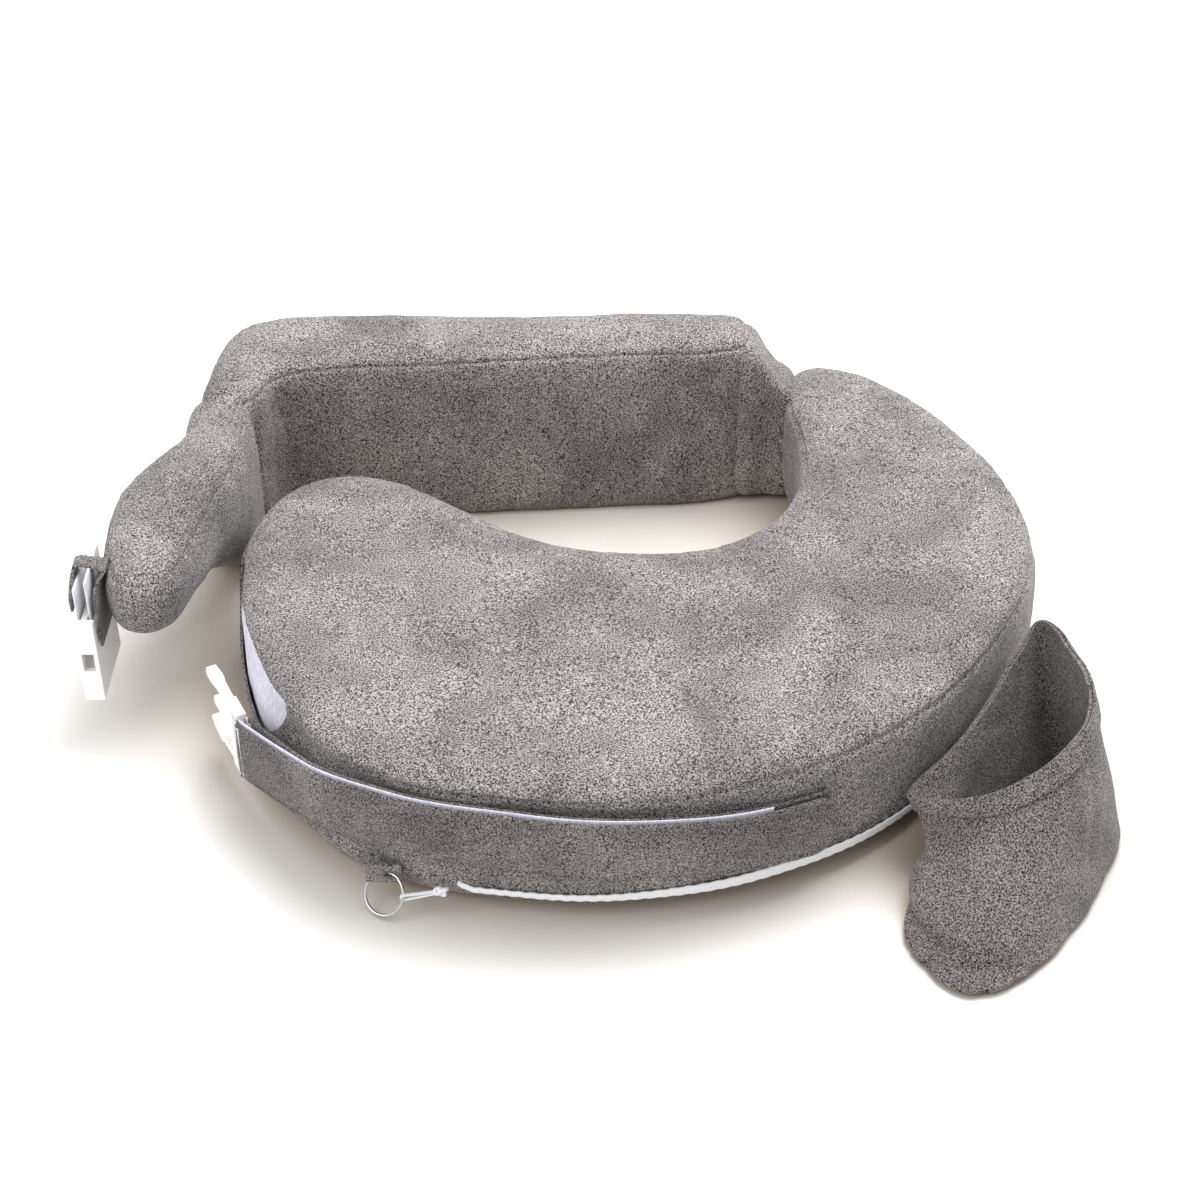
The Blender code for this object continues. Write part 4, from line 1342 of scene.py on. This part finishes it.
    def loop(self) -> None:
        """The elastic's two tails, looped on the ring and knotted where they leave the hem."""
        low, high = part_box("elastic_knot")
        knot = (low + high) / 2
        reach = [self.middle + (Matrix.Rotation(math.tau * k / 72, 3, self.axis)
                                @ (self.axis.orthogonal().normalized() * self.radius)) for k in range(72)]
        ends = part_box("elastic_loop")
        cord_middle = (ends[0] + ends[1]) / 2
        caught = min(reach, key=lambda p: (p - cord_middle).length)
        away = (knot - caught).normalized()
        lift = Vector((0, 0, 1)) - away * away.z
        lift.normalize()
        spread = 1.5 * MM
        path = [knot + lift * spread * 0.5 - away * 3.0 * MM, caught + away * 5.0 * MM + lift * spread]
        for step in range(7):
            angle = math.pi * step / 6
            path.append(caught + lift * spread * 1.2 * math.cos(angle) - away * spread * math.sin(angle))
        path += [caught + away * 5.0 * MM - lift * spread, knot - lift * spread * 0.5 - away * 3.0 * MM]
        line = spaced(smooth_open(path, 6), 0.8 * MM)
        side = away.cross(lift).normalized()
        cord = band("elastic_loop_cord", line, [side] * len(line), strip_profile(self.loop_width, 1.1 * MM))
        dress(cord, self.finishes.elastic, None, ["elastic_loop"])
        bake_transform(cord)
        self.knot(knot, away, lift)

    def knot(self, middle: Vector, away: Vector, lift: Vector) -> None:
        """An overhand knot: three lobes of cord wound through each other, pulled tight."""
        path = []
        for step in range(72):
            t = math.tau * step / 72
            trefoil = Vector((math.sin(t) + 2 * math.sin(2 * t), math.cos(t) - 2 * math.cos(2 * t),
                              -math.sin(3 * t)))
            side = away.cross(lift)
            path.append(middle + away * trefoil.x * 1.35 * MM + lift * trefoil.y * 0.95 * MM
                        + side * trefoil.z * 1.1 * MM)
        tied = cord_tube("elastic_knot_tied", path, 1.25 * MM, closed=True)
        dress(tied, self.finishes.elastic, Body.PLATFORM, ["elastic_knot"])


# ---- the waist strap ----------------------------------------------------------------------------------
@dataclass
class Strap:
    """The waist strap: it lies on the front, turns round the plug's bar and comes back over itself."""

    nodes: dict[str, bpy.types.Object]
    finishes: Wardrobe
    outline: Outline
    width: float = 45.5 * MM
    thick: float = 2.9 * MM
    lining_thick: float = 0.8 * MM
    stitch_inset: float = 3.9 * MM
    stitch_pitch: float = 3.4 * MM
    first_x: float = -0.176
    front_y: float = -0.085
    turn_radius: float = 4.3 * MM
    corner: float = 15.0 * MM
    heights: tuple[tuple[float, float], ...] = (
        (-0.2195, 0.0500), (-0.1860, 0.0580), (-0.1510, 0.0670), (-0.1160, 0.0690), (-0.0560, 0.0675),
        (0.0040, 0.0640), (0.0640, 0.0585), (0.1140, 0.0535), (0.1640, 0.0515))

    def build(self) -> None:
        """Makes the strap's legs, lining, turn, tapes and stitching."""
        self.bar = Vector(joint("male_buckle_turn")["pos_m"])
        axis = Vector(joint("prong_upper_squeeze")["axis"])
        self.out = axis.normalized()
        self.heading = Vector((self.out.y, -self.out.x, 0.0))
        end_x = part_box("strap_tail")[1].x
        lead = self.bar - self.heading * 3.6 * MM
        outer = self.run(7.3 * MM, end_x, lead + self.out * self.turn_radius)
        inner = self.run(2.3 * MM, end_x - 6.0 * MM, lead - self.out * self.turn_radius)
        self.outer_leg(outer)
        self.inner_leg(inner)
        self.lining(self.run(5.2 * MM, end_x - 40.0 * MM, lead + self.out * (self.turn_radius - 2.1 * MM)))
        self.turn()
        self.tapes(end_x)

    def height(self, x: float) -> float:
        """The strap's middle height at a place along the front."""
        places = np.arange(-4, 5) * 6 * MM + x
        return float(np.mean(np.interp(places, [a for a, _ in self.heights], [b for _, b in self.heights])))

    def run(self, distance: float, end_x: float, lead: Vector) -> Path:
        """The strap's middle line, from the bar to its end, at a distance from the cover."""
        wall = [p for p in stand_off(self.outline.path, distance)
                if p.y < self.front_y and self.first_x < p.x < end_x]
        wall.sort(key=lambda p: p.x)
        line = spaced(smooth_open([lead] + wall[::5] + [wall[-1]], 6), 2.5 * MM)
        return [Vector((p.x, p.y, self.height(p.x))) for p in line]

    def end_widths(self, path: Path) -> list[float]:
        """A share of the width at each point, with the far end's corners rounded."""
        half = self.width / 2
        shares = []
        for point in path:
            back = (point - path[-1]).length
            share = 1.0
            if back < self.corner:
                rise = math.sqrt(max(0.0, self.corner ** 2 - (self.corner - back) ** 2))
                share = (half - self.corner + rise) / half
            shares.append(share)
        return shares

    def outer_leg(self, path: Path) -> None:
        """The leg that shows, with its free tail, as one piece from the bar to the tail's end."""
        ups = [Vector((0, 0, 1))] * len(path)
        profile = strip_profile(self.width, self.thick, 0.55 * MM, self.stitch_inset)
        shares = self.end_widths(path)
        leg = band("strap_outer", path, ups, profile, shares)
        sculpt = Sculpt(leg)
        sculpt.push(sculpt.ripple(30, 0.5, 7.0) + sculpt.ripple(6, 0.2, 8.0))
        dress(leg, self.finishes.strap_plush, None, ["strap_outer_leg", "strap_tail"])
        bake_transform(leg)
        seam = self.topstitch("strap_topstitch", path, shares)
        dress(seam, self.finishes.thread, None)
        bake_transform(seam)

    def topstitch(self, name: str, path: Path, shares: Sequence[float]) -> bpy.types.Object:
        """Two rows of stitches on the outer face."""
        bm = bmesh.new()
        marks = spaced(path, self.stitch_pitch)
        for index in range(1, len(marks) - 1):
            point = marks[index]
            nearest = min(range(len(path)), key=lambda k: (path[k] - point).length)
            along = (marks[index + 1] - marks[index - 1]).normalized()
            out = Vector((along.y, -along.x, 0.0)).normalized()
            for side in (-1, 1):
                across = side * (self.width / 2 - self.stitch_inset) * shares[nearest]
                spot = point + Vector((0, 0, across)) + out * (self.thick / 2 - 0.35 * MM)
                turn = along.to_track_quat("X", "Z")
                place = Matrix.LocRotScale(spot, turn, Vector((1.25 * MM, 0.28 * MM, 0.28 * MM)))
                bmesh.ops.create_uvsphere(bm, u_segments=6, v_segments=4, radius=1.0, matrix=place)
        return new_piece(name, bm)

    def inner_leg(self, path: Path) -> None:
        """The leg against the cover."""
        leg = band("strap_inner", path, [Vector((0, 0, 1))] * len(path), strip_profile(self.width, 2.4 * MM))
        dress(leg, self.finishes.strap_plush, Body.PLATFORM, ["strap_inner_leg"])

    def lining(self, path: Path) -> None:
        """The white lining between the legs, whose edge shows along the top."""
        lifted = [p + Vector((0, 0, 0.9 * MM)) for p in path]
        ups = [Vector((0, 0, 1))] * len(path)
        lining = band("strap_lining", lifted, ups, strip_profile(self.width + 0.6 * MM, self.lining_thick))
        dress(lining, self.finishes.cotton, Body.PLATFORM)

    def turn(self) -> None:
        """The lining's turn round the plug's bar."""
        path = []
        for step in range(-6, 25):
            angle = math.pi * min(max(step / 18, 0.0), 1.0)
            straight = -0.8 * MM * max(0, -step) if step < 0 else -0.8 * MM * max(0, step - 18)
            forward = math.sin(angle) * (self.turn_radius + 2.2 * MM) - 2.6 * MM + straight
            path.append(self.bar + self.heading * forward
                        - self.out * math.cos(angle) * (self.turn_radius - 0.2 * MM))
        ups = [Vector((0, 0, 1))] * len(path)
        profile = strip_profile(self.width - 1.5 * MM, 1.8 * MM, 0.2 * MM, 3.5 * MM)
        turn = band("strap_bar_turn", path, ups, profile)
        dress(turn, self.finishes.webbing, Body.PLATFORM, ["strap_turn"])

    def tapes(self, end_x: float) -> None:
        """The loop tape on the inner leg and the hook tape under the tail."""
        for name, node, distance, body, from_x, to_x in (
            ("strap_loop_tape", "loop_patch", 4.3 * MM, Body.PLATFORM, -0.05, end_x - 9 * MM),
            ("strap_hook_tape", "hook_patch", 5.4 * MM, Body.TAIL, 0.066, end_x - 14 * MM),
        ):
            wall = stand_off(self.outline.path, distance)
            line = sorted((p for p in wall if p.y < self.front_y and from_x < p.x < to_x), key=lambda p: p.x)
            path = [Vector((p.x, p.y, self.height(p.x))) for p in spaced(line, 4 * MM)]
            ups = [Vector((0, 0, 1))] * len(path)
            tape = band(name, path, ups, strip_profile(self.width - 13 * MM, 0.9 * MM))
            dress(tape, self.finishes.tape, body, [node])


# ---- the back rest and the arm ------------------------------------------------------------------------
@dataclass
class BackAndArm:
    """The back rest and the arm: two foams in cotton cases, under one cover that spans both and the corner
    between them.
    """

    nodes: dict[str, bpy.types.Object]
    finishes: Wardrobe
    voxel: float = 4.5 * MM
    room: float = 2.0 * MM
    seam_height: float = 131.5 * MM
    seam_fall: float = 0.02
    shoulder: float = 9.0 * MM
    tip_drop: float = 7.0 * MM
    corner_fill: float = 9.0 * MM
    corner_low: tuple[float, float, float] = (-0.281, 0.128, 0.010)
    corner_high: tuple[float, float, float] = (-0.247, 0.164, 0.130)
    wrinkles: tuple[Crease, ...] = (
        Crease((-0.238, 0.150, 0.124), (-0.240, 0.146, 0.020), 6.0, 4.2),
        Crease((-0.248, 0.118, 0.126), (-0.238, 0.146, 0.070), 4.5, 3.4),
        Crease((-0.254, 0.098, 0.122), (-0.241, 0.140, 0.046), 4.5, 3.8),
        Crease((-0.258, 0.070, 0.108), (-0.243, 0.128, 0.030), 5.0, 3.6),
        Crease((-0.262, 0.040, 0.104), (-0.250, 0.098, 0.060), 5.0, 2.8),
        Crease((-0.228, 0.156, 0.130), (-0.196, 0.157, 0.066), 6.0, 2.8),
        Crease((-0.214, 0.157, 0.122), (-0.150, 0.158, 0.020), 8.0, 1.8),
        Crease((-0.292, 0.128, 0.139), (-0.252, 0.140, 0.139), 3.6, 2.8),
        Crease((-0.294, 0.114, 0.139), (-0.256, 0.122, 0.139), 3.6, 2.4),
        Crease((-0.284, 0.150, 0.139), (-0.236, 0.166, 0.139), 5.0, 2.6),
        Crease((-0.276, 0.172, 0.139), (-0.240, 0.178, 0.139), 5.0, 1.8),
        Crease((-0.300, 0.060, 0.139), (-0.262, 0.078, 0.139), 6.0, 1.6),
        Crease((0.040, 0.152, 0.126), (0.112, 0.160, 0.060), 7.0, 2.8),
        Crease((0.062, 0.152, 0.130), (0.116, 0.166, 0.092), 5.0, 2.8),
        Crease((0.046, 0.152, 0.040), (0.110, 0.166, 0.074), 6.0, 2.4),
        Crease((-0.010, 0.152, 0.050), (0.070, 0.152, 0.022), 8.0, 1.5),
        Crease((0.074, 0.160, 0.140), (0.112, 0.196, 0.140), 4.5, 2.4),
        Crease((0.066, 0.186, 0.140), (0.116, 0.220, 0.140), 5.0, 2.0),
        Crease((-0.060, 0.200, 0.140), (0.000, 0.215, 0.140), 12.0, 1.0),
    )

    def build(self) -> None:
        """Makes the foams, their cases and the cover."""
        for name, node, case, body in (
            ("back_rest", "back_foam", "back_liner", Body.BACK), ("arm", "arm_foam", "arm_liner", Body.ARM),
        ):
            foam = foam_block(name + "_foam", self.nodes[node])
            dress(foam, self.finishes.foam, body, [node])
            cotton = cotton_case(name + "_case", self.nodes[node], 5.0 * MM)
            dress(cotton, self.finishes.cotton, body, [case])
        self.cover()

    def cover(self) -> None:
        """The plush cover, one skin over both foams and the corner between them."""
        parts = [node_form("back_form", self.nodes["back_foam"]),
                 node_form("arm_form", self.nodes["arm_foam"]),
                 box_form("corner_form", self.corner_low, self.corner_high, 9 * MM)]
        skin = remesh(joined("back_and_arm_cover", parts), self.voxel)
        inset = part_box("back_cover")[1].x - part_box("back_foam")[1].x
        sculpt = Sculpt(skin)
        sculpt.push(np.full(len(sculpt.co), inset - self.room))
        self.fill_out(sculpt)
        sculpt.co[:, 2] = np.maximum(sculpt.co[:, 2], 0.6 * MM)
        sculpt.refresh()
        swell(skin, 3.5, 12, 1.5 * MM, 8.0 * MM)
        apply_modifier(skin, "SUBSURF", levels=1, render_levels=1)
        sculpt = Sculpt(skin)
        sculpt.push(np.full(len(sculpt.co), self.room))
        sculpt.crease(self.wrinkles)
        sculpt.push(
            sculpt.ripple(60, 1.4, 11.0) + sculpt.ripple(24, 0.7, 12.0) + sculpt.ripple(7, 0.28, 13.0))
        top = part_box("back_cover")[1].z
        sculpt.co[:, 2] = np.clip(sculpt.co[:, 2], 0.5 * MM, top + 1.5 * MM)
        sculpt.refresh()
        self.score_seam(skin)
        apply_modifier(skin, "SOLIDIFY", thickness=1.6 * MM, offset=-1.0)
        dress(skin, self.finishes.plush, None, ["back_cover", "corner_gusset", "arm_cover"])
        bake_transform(skin)

    def fill_out(self, sculpt: Sculpt) -> None:
        """Stands the cloth off the foam on the arm's outer side, below its tip and at the back corner."""
        x, y, height = sculpt.co.T.copy()
        outer = step_up(-sculpt.normal[:, 0], -0.1, 0.7)
        sculpt.co[:, 0] -= self.shoulder * outer * bell(y, 0.045, 0.062) * step_up(height, 0.03, 0.10)
        sculpt.co[:, 2] += 0.35 * self.shoulder * step_up(sculpt.normal[:, 2], 0.3, 0.9) * bell(y, 0.05, 0.06)
        under = step_up(-sculpt.normal[:, 2], -0.1, 0.7)
        sculpt.co[:, 2] -= self.tip_drop * under * bell(y, -0.045, 0.05) * step_up(-x, 0.235, 0.25)
        corner = bell(np.hypot(x + 0.262, y - 0.250), 0.0, 0.034) * step_up(height, 0.02, 0.09)
        sculpt.co[:, 0] -= self.corner_fill * corner * 0.75
        sculpt.co[:, 1] += self.corner_fill * corner * 0.65
        sculpt.refresh()

    def score_seam(self, skin: bpy.types.Object) -> None:
        """Draws in the seam that runs round the cover just below its top."""
        bm = bmesh.new()
        bm.from_mesh(skin.data)
        normal = Vector((0.0, -self.seam_fall, 1.0)).normalized()
        for step in (-1.3, 0.0, 1.3):
            bmesh.ops.bisect_plane(
                bm, geom=bm.verts[:] + bm.edges[:] + bm.faces[:],
                plane_co=(0.0, 0.150, self.seam_height + step * MM), plane_no=normal)
        bm.to_mesh(skin.data)
        bm.free()
        sculpt = Sculpt(skin)
        above = (sculpt.co - np.array((0.0, 0.150, self.seam_height))) @ np.array(normal)
        sculpt.push(-1.5 * MM * bell(above, 0.0, 0.9 * MM) * (np.abs(sculpt.normal[:, 2]) < 0.8))


@dataclass
class HornFold:
    """The fold of cover cloth that joins the back rest's end to the platform's horn."""

    finishes: Wardrobe
    low: tuple[float, float, float] = (0.104, 0.218, 0.002)
    high: tuple[float, float, float] = (0.152, 0.268, 0.100)
    tops: tuple[tuple[float, float], ...] = (
        (0.100, 0.136), (0.114, 0.135), (0.121, 0.128), (0.128, 0.114), (0.136, 0.1025), (0.152, 0.095))

    def build(self) -> None:
        """Makes the fold; its top follows the listed heights and its middle is pinched in."""
        form = remesh(box_form("horn_fold", self.low, self.high, 9 * MM), 4.0 * MM)
        apply_modifier(form, "SUBSURF", levels=1, render_levels=1)
        sculpt = Sculpt(form)
        across = sculpt.co[:, 0]
        top = np.interp(across, [x for x, _ in self.tops], [z for _, z in self.tops])
        sculpt.co[:, 2] *= top / self.high[2]
        middle = (self.low[1] + self.high[1]) / 2
        pinch = 1.0 - 0.10 * bell(across, 0.128, 9 * MM)
        sculpt.co[:, 1] = middle + (sculpt.co[:, 1] - middle) * pinch
        sculpt.refresh()
        sculpt.relax(2)
        sculpt.push(sculpt.ripple(18, 1.0, 21.0) + sculpt.ripple(7, 0.25, 22.0))
        dress(form, self.finishes.plush, None, ["horn_gusset"])
        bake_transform(form)


# ---- the pocket ---------------------------------------------------------------------------------------
@dataclass
class Pocket:
    """The pocket: a sewn bag of cover cloth with a folded hem at its mouth, slumped on the floor."""

    finishes: Wardrobe
    mouth: tuple[tuple[float, float, float], ...] = (
        (0.1940, -0.1530, 0.048), (0.2120, -0.1750, 0.062), (0.2410, -0.1850, 0.078),
        (0.2740, -0.1730, 0.091), (0.2980, -0.1470, 0.097), (0.3080, -0.1150, 0.099),
        (0.3010, -0.0770, 0.097), (0.2870, -0.0410, 0.093), (0.2660, -0.0670, 0.079),
        (0.2330, -0.1150, 0.061))
    waist: tuple[tuple[float, float, float], ...] = (
        (0.2120, -0.1760, 0.030), (0.2240, -0.2060, 0.033), (0.2460, -0.2280, 0.036),
        (0.2790, -0.2150, 0.040), (0.3060, -0.1830, 0.042), (0.3190, -0.1450, 0.044),
        (0.3120, -0.0990, 0.046), (0.2920, -0.0660, 0.046), (0.2640, -0.0930, 0.040),
        (0.2330, -0.1370, 0.034))
    floor: tuple[tuple[float, float, float], ...] = (
        (0.1880, -0.2180, 0.0045), (0.1930, -0.2540, 0.004), (0.2200, -0.2800, 0.004),
        (0.2620, -0.2600, 0.004), (0.3010, -0.2080, 0.004), (0.3320, -0.1500, 0.004),
        (0.3230, -0.1060, 0.004), (0.3030, -0.0760, 0.004), (0.2720, -0.1060, 0.004),
        (0.2300, -0.1480, 0.004))
    cloth: float = 2.0 * MM
    hem_width: float = 16.0 * MM
    around: int = 10
    levels: int = 26
    wrinkles: tuple[Crease, ...] = (
        Crease((0.196, -0.243, 0.012), (0.240, -0.262, 0.014), 5.0, 3.2, 2.0),
        Crease((0.236, -0.246, 0.026), (0.270, -0.236, 0.012), 6.0, 1.8, 2.0),
        Crease((0.206, -0.186, 0.042), (0.232, -0.214, 0.030), 6.0, 1.8, 2.0),
        Crease((0.224, -0.190, 0.058), (0.262, -0.206, 0.040), 9.0, 1.3, 3.0),
        Crease((0.300, -0.158, 0.080), (0.300, -0.196, 0.024), 7.0, 1.8, 3.0),
        Crease((0.312, -0.118, 0.084), (0.326, -0.130, 0.020), 6.0, 2.6, 2.0),
    )

    def build(self) -> None:
        """Makes the bag, its hem and its stitching."""
        rings = self.rings()
        bag = self.loft("pocket_bag_cloth", rings, close=True)
        self.shape(bag)
        apply_modifier(bag, "SOLIDIFY", thickness=self.cloth, offset=-1.0)
        dress(bag, self.finishes.strap_plush, Body.PLATFORM, ["pocket_bag"])
        hem_rings = [stand_off(ring, 0.5 * MM) for ring in rings
                     if self.drop(ring, rings[0]) < self.hem_width]
        hem = self.loft("pocket_hem_fold", hem_rings, close=False)
        self.shape(hem)
        apply_modifier(hem, "SOLIDIFY", thickness=1.7 * MM, offset=1.0)
        soft_edges(hem, 0.5 * MM, 2, 50)
        dress(hem, self.finishes.strap_plush, Body.PLATFORM, ["pocket_hem"])

    def drop(self, ring: Path, first: Path) -> float:
        """How far a ring lies below the mouth, down the cloth."""
        return sum((a - b).length for a, b in zip(ring, first)) / len(ring)

    def rings(self) -> list[Path]:
        """The bag's rings, from the mouth through its waist to the floor."""
        mouth, waist, floor = (smooth_closed([Vector(p) for p in row], self.around)
                               for row in (self.mouth, self.waist, self.floor))
        found = []
        for level in range(self.levels + 1):
            share = level / self.levels
            ring = []
            for top, middle, base in zip(mouth, waist, floor):
                first, second = top.lerp(middle, share), middle.lerp(base, share)
                ring.append(first.lerp(second, share) * 0.75 + (
                    top.lerp(middle, share * 2) if share < 0.5 else middle.lerp(base, share * 2 - 1)) * 0.25)
            swell_out = 4.5 * bell(share, 0.74, 0.10) - 4.0 * bell(share, 0.90, 0.035)
            left = [float(step_up(p.x, 0.29, 0.22) * step_up(-p.y, 0.15, 0.20)) for p in ring]
            wide = stand_off(ring, 1.0)
            found.append([p + (o - p) * swell_out * MM * part for p, o, part in zip(ring, wide, left)])
        return found

    def loft(self, name: str, rings: Sequence[Path], close: bool) -> bpy.types.Object:
        """A skin through rings, with a bottom where it is closed."""
        bm = bmesh.new()
        rows = [[bm.verts.new(p) for p in ring] for ring in rings]
        if close:
            last = rings[-1]
            middle = sum(last, Vector()) / len(last)
            for share in (0.97, 0.85, 0.6, 0.3):
                rows.append([bm.verts.new(middle.lerp(p, share) + Vector((0, 0, -1.2 * MM))) for p in last])
        for first, second in zip(rows, rows[1:]):
            for k in range(len(first)):
                n = (k + 1) % len(first)
                bm.faces.new((first[k], second[k], second[n], first[n]))
        if close:
            bm.faces.new(rows[-1][::-1])
        bm.normal_update()
        bmesh.ops.recalc_face_normals(bm, faces=bm.faces)
        probe = max(bm.faces, key=lambda f: f.calc_center_median().x)
        if probe.normal.x < 0:
            bmesh.ops.reverse_faces(bm, faces=bm.faces)
        return new_piece(name, bm)

    def shape(self, cloth: bpy.types.Object) -> None:
        """Slack waves and creases in the cloth."""
        apply_modifier(cloth, "SUBSURF", levels=1, render_levels=1)
        sculpt = Sculpt(cloth)
        sculpt.crease(self.wrinkles, lambda normal: step_up(-normal[:, 1] + normal[:, 0], -0.6, 0.2))
        sculpt.push(
            sculpt.ripple(38, 2.6, 31.0) + sculpt.ripple(16, 0.9, 32.0) + sculpt.ripple(6, 0.25, 33.0))
        sculpt.co[:, 2] = np.maximum(sculpt.co[:, 2], 0.5 * MM)
        sculpt.refresh()


# ---- the buckle ---------------------------------------------------------------------------------------
@dataclass
class Buckle:
    """The side-release buckle, its plug on the strap and its socket on the arm's webbing."""

    nodes: dict[str, bpy.types.Object]
    finishes: Wardrobe
    webbing_width: float = 44.5 * MM

    def build(self) -> None:
        """Dresses the moulded halves and makes the webbing."""
        for name in ("male_base", "guide_tongue", "prong_upper", "prong_lower", "female_body"):
            node = self.nodes[name]
            node.data.materials.clear()
            node.data.materials.append(self.finishes.acetal)
        self.webbing()

    def webbing(self) -> None:
        """White webbing sewn into the arm's end and taken round the socket's bar."""
        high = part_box("webbing_loop")[1]
        bar = Vector(joint("female_buckle_swing")["pos_m"])
        reach = 4.0 * MM
        path = [Vector((bar.x + reach, bar.y, high.z))]
        path += [Vector((bar.x + reach, bar.y, bar.z + step * 4 * MM)) for step in range(6, -1, -1)]
        for step in range(1, 12):
            angle = math.pi * step / 12
            height = bar.z - 1 * MM - 3.6 * MM * math.sin(angle)
            path.append(Vector((bar.x + reach * math.cos(angle), bar.y, height)))
        path += [Vector((bar.x - reach, bar.y, bar.z + step * 4 * MM)) for step in range(0, 7)]
        ups = [Vector((0, 1, 0))] * len(path)
        loop = band("socket_webbing", path, ups, strip_profile(self.webbing_width, 1.4 * MM))
        dress(loop, self.finishes.webbing, Body.ARM, ["webbing_loop"])
        self.flap("socket_flap_outer", bar, -6.6 * MM, 0.108)
        self.flap("socket_flap_inner", bar, 8.6 * MM, 0.080)

    def flap(self, name: str, bar: Vector, beside: float, bottom: float) -> None:
        """A flap of cover cloth beside the webbing, sewn in at the arm's side."""
        root = Vector((bar.x + 14 * MM, bar.y, 0.128))
        shoulder = Vector((bar.x + beside + 2 * MM, bar.y, 0.131 if beside < 0 else 0.124))
        below = [Vector((bar.x + beside, bar.y, z)) for z in (0.118, bottom)]
        path = smooth_open([root, shoulder, *below], 6)
        widths = [0.24 + 0.76 * float(step_up(np.array(-p.z), -0.131, -0.117)) for p in path]
        profile = strip_profile(self.webbing_width + 1 * MM, 1.8 * MM)
        cloth = band(name, path, [Vector((0, 1, 0))] * len(path), profile, widths)
        sculpt = Sculpt(cloth)
        sculpt.push(sculpt.ripple(14, 0.4, 41.0))
        dress(cloth, self.finishes.strap_plush, Body.ARM)


# ---- the studio ---------------------------------------------------------------------------------------
@dataclass
class Studio:
    """A white sweep with a warm shadow painted into its colour near the pillow, lit from above; and the
    camera.
    """

    floor_size: float = 12.0
    lens: float = 66.0
    camera_place: tuple[float, float, float] = (0.0040, -1.147, 0.9735)
    camera_pitch: float = 52.0
    sky: float = 0.78
    key_power: float = 40.0
    shade_reach: float = 0.16

    def build(self) -> None:
        """Makes the floor, the lights and the camera."""
        deselect()
        bpy.ops.mesh.primitive_plane_add(size=self.floor_size)
        floor = bpy.context.active_object
        floor.name = "studio_floor"
        material, tree, shader = blank("white_sweep")
        # Painted shadow: ambient occlusion blends the floor's colour from near white to warm brown (A08C74)
        # close to the pillow.
        shade = add_node(tree, "ShaderNodeAmbientOcclusion", {"samples": 12}, {
            "Distance": self.shade_reach}).outputs["AO"]
        painted_shadow = add_node(tree, "ShaderNodeMix", {"data_type": "RGBA"}, {
            0: shade, 6: linear("A08C74"), 7: linear("FDFDFC")}).outputs[2]
        tree.links.new(painted_shadow, shader.inputs["Base Color"])
        shader.inputs["Roughness"].default_value = 0.9
        shader.inputs["Specular IOR Level"].default_value = 0.1
        floor.data.materials.append(material)
        floor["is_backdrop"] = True
        world = bpy.data.worlds.new("studio_air")
        world.use_nodes = True
        back = world.node_tree.nodes["Background"]
        back.inputs["Color"].default_value = (1.0, 1.0, 1.0, 1.0)
        back.inputs["Strength"].default_value = self.sky
        bpy.context.scene.world = world
        self.light("key_light", (0.45, 0.55, 1.7), 1.3, self.key_power)
        self.light("fill_light", (-1.3, -0.9, 1.4), 1.2, self.key_power * 0.35)
        camera_data = bpy.data.cameras.new("studio_camera")
        camera_data.lens = self.lens
        camera = bpy.data.objects.new("studio_camera", camera_data)
        camera.location = self.camera_place
        camera.rotation_euler = (math.radians(self.camera_pitch), 0.0, 0.0)
        bpy.context.scene.collection.objects.link(camera)
        bpy.context.scene.camera = camera
        bpy.context.scene.view_settings.view_transform = "Standard"

    def light(self, name: str, place: tuple[float, float, float], size: float, power: float) -> None:
        """An area light that faces the pillow."""
        data = bpy.data.lights.new(name, "AREA")
        data.size = size
        data.energy = power
        lamp = bpy.data.objects.new(name, data)
        lamp.location = place
        lamp.rotation_euler = (Vector(place) * -1).to_track_quat("-Z", "Y").to_euler()
        bpy.context.scene.collection.objects.link(lamp)


def main() -> None:
    """Builds the pillow round its frame, and the studio."""
    logging.basicConfig(level=logging.INFO, format="%(name)s: %(message)s")
    FRAME.update(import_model())
    deselect()
    cad_box = [list(corner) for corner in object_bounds()]
    nodes = FRAME["nodes"]
    finishes = Wardrobe()
    Studio().build()
    platform = Platform(nodes, finishes)
    platform.build()
    BackAndArm(nodes, finishes).build()
    HornFold(finishes).build()
    Strap(nodes, finishes, platform.outline).build()
    HemElastic(nodes, finishes, platform.outline).build()
    Pocket(finishes).build()
    Buckle(nodes, finishes).build()
    visual_box = [list(corner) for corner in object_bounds()]
    for low_high, name in ((cad_box, "CAD"), (visual_box, "visual")):
        LOG.info("%s box %s", name, [[round(v / MM, 1) for v in corner] for corner in low_high])


if __name__ == "__main__":
    main()
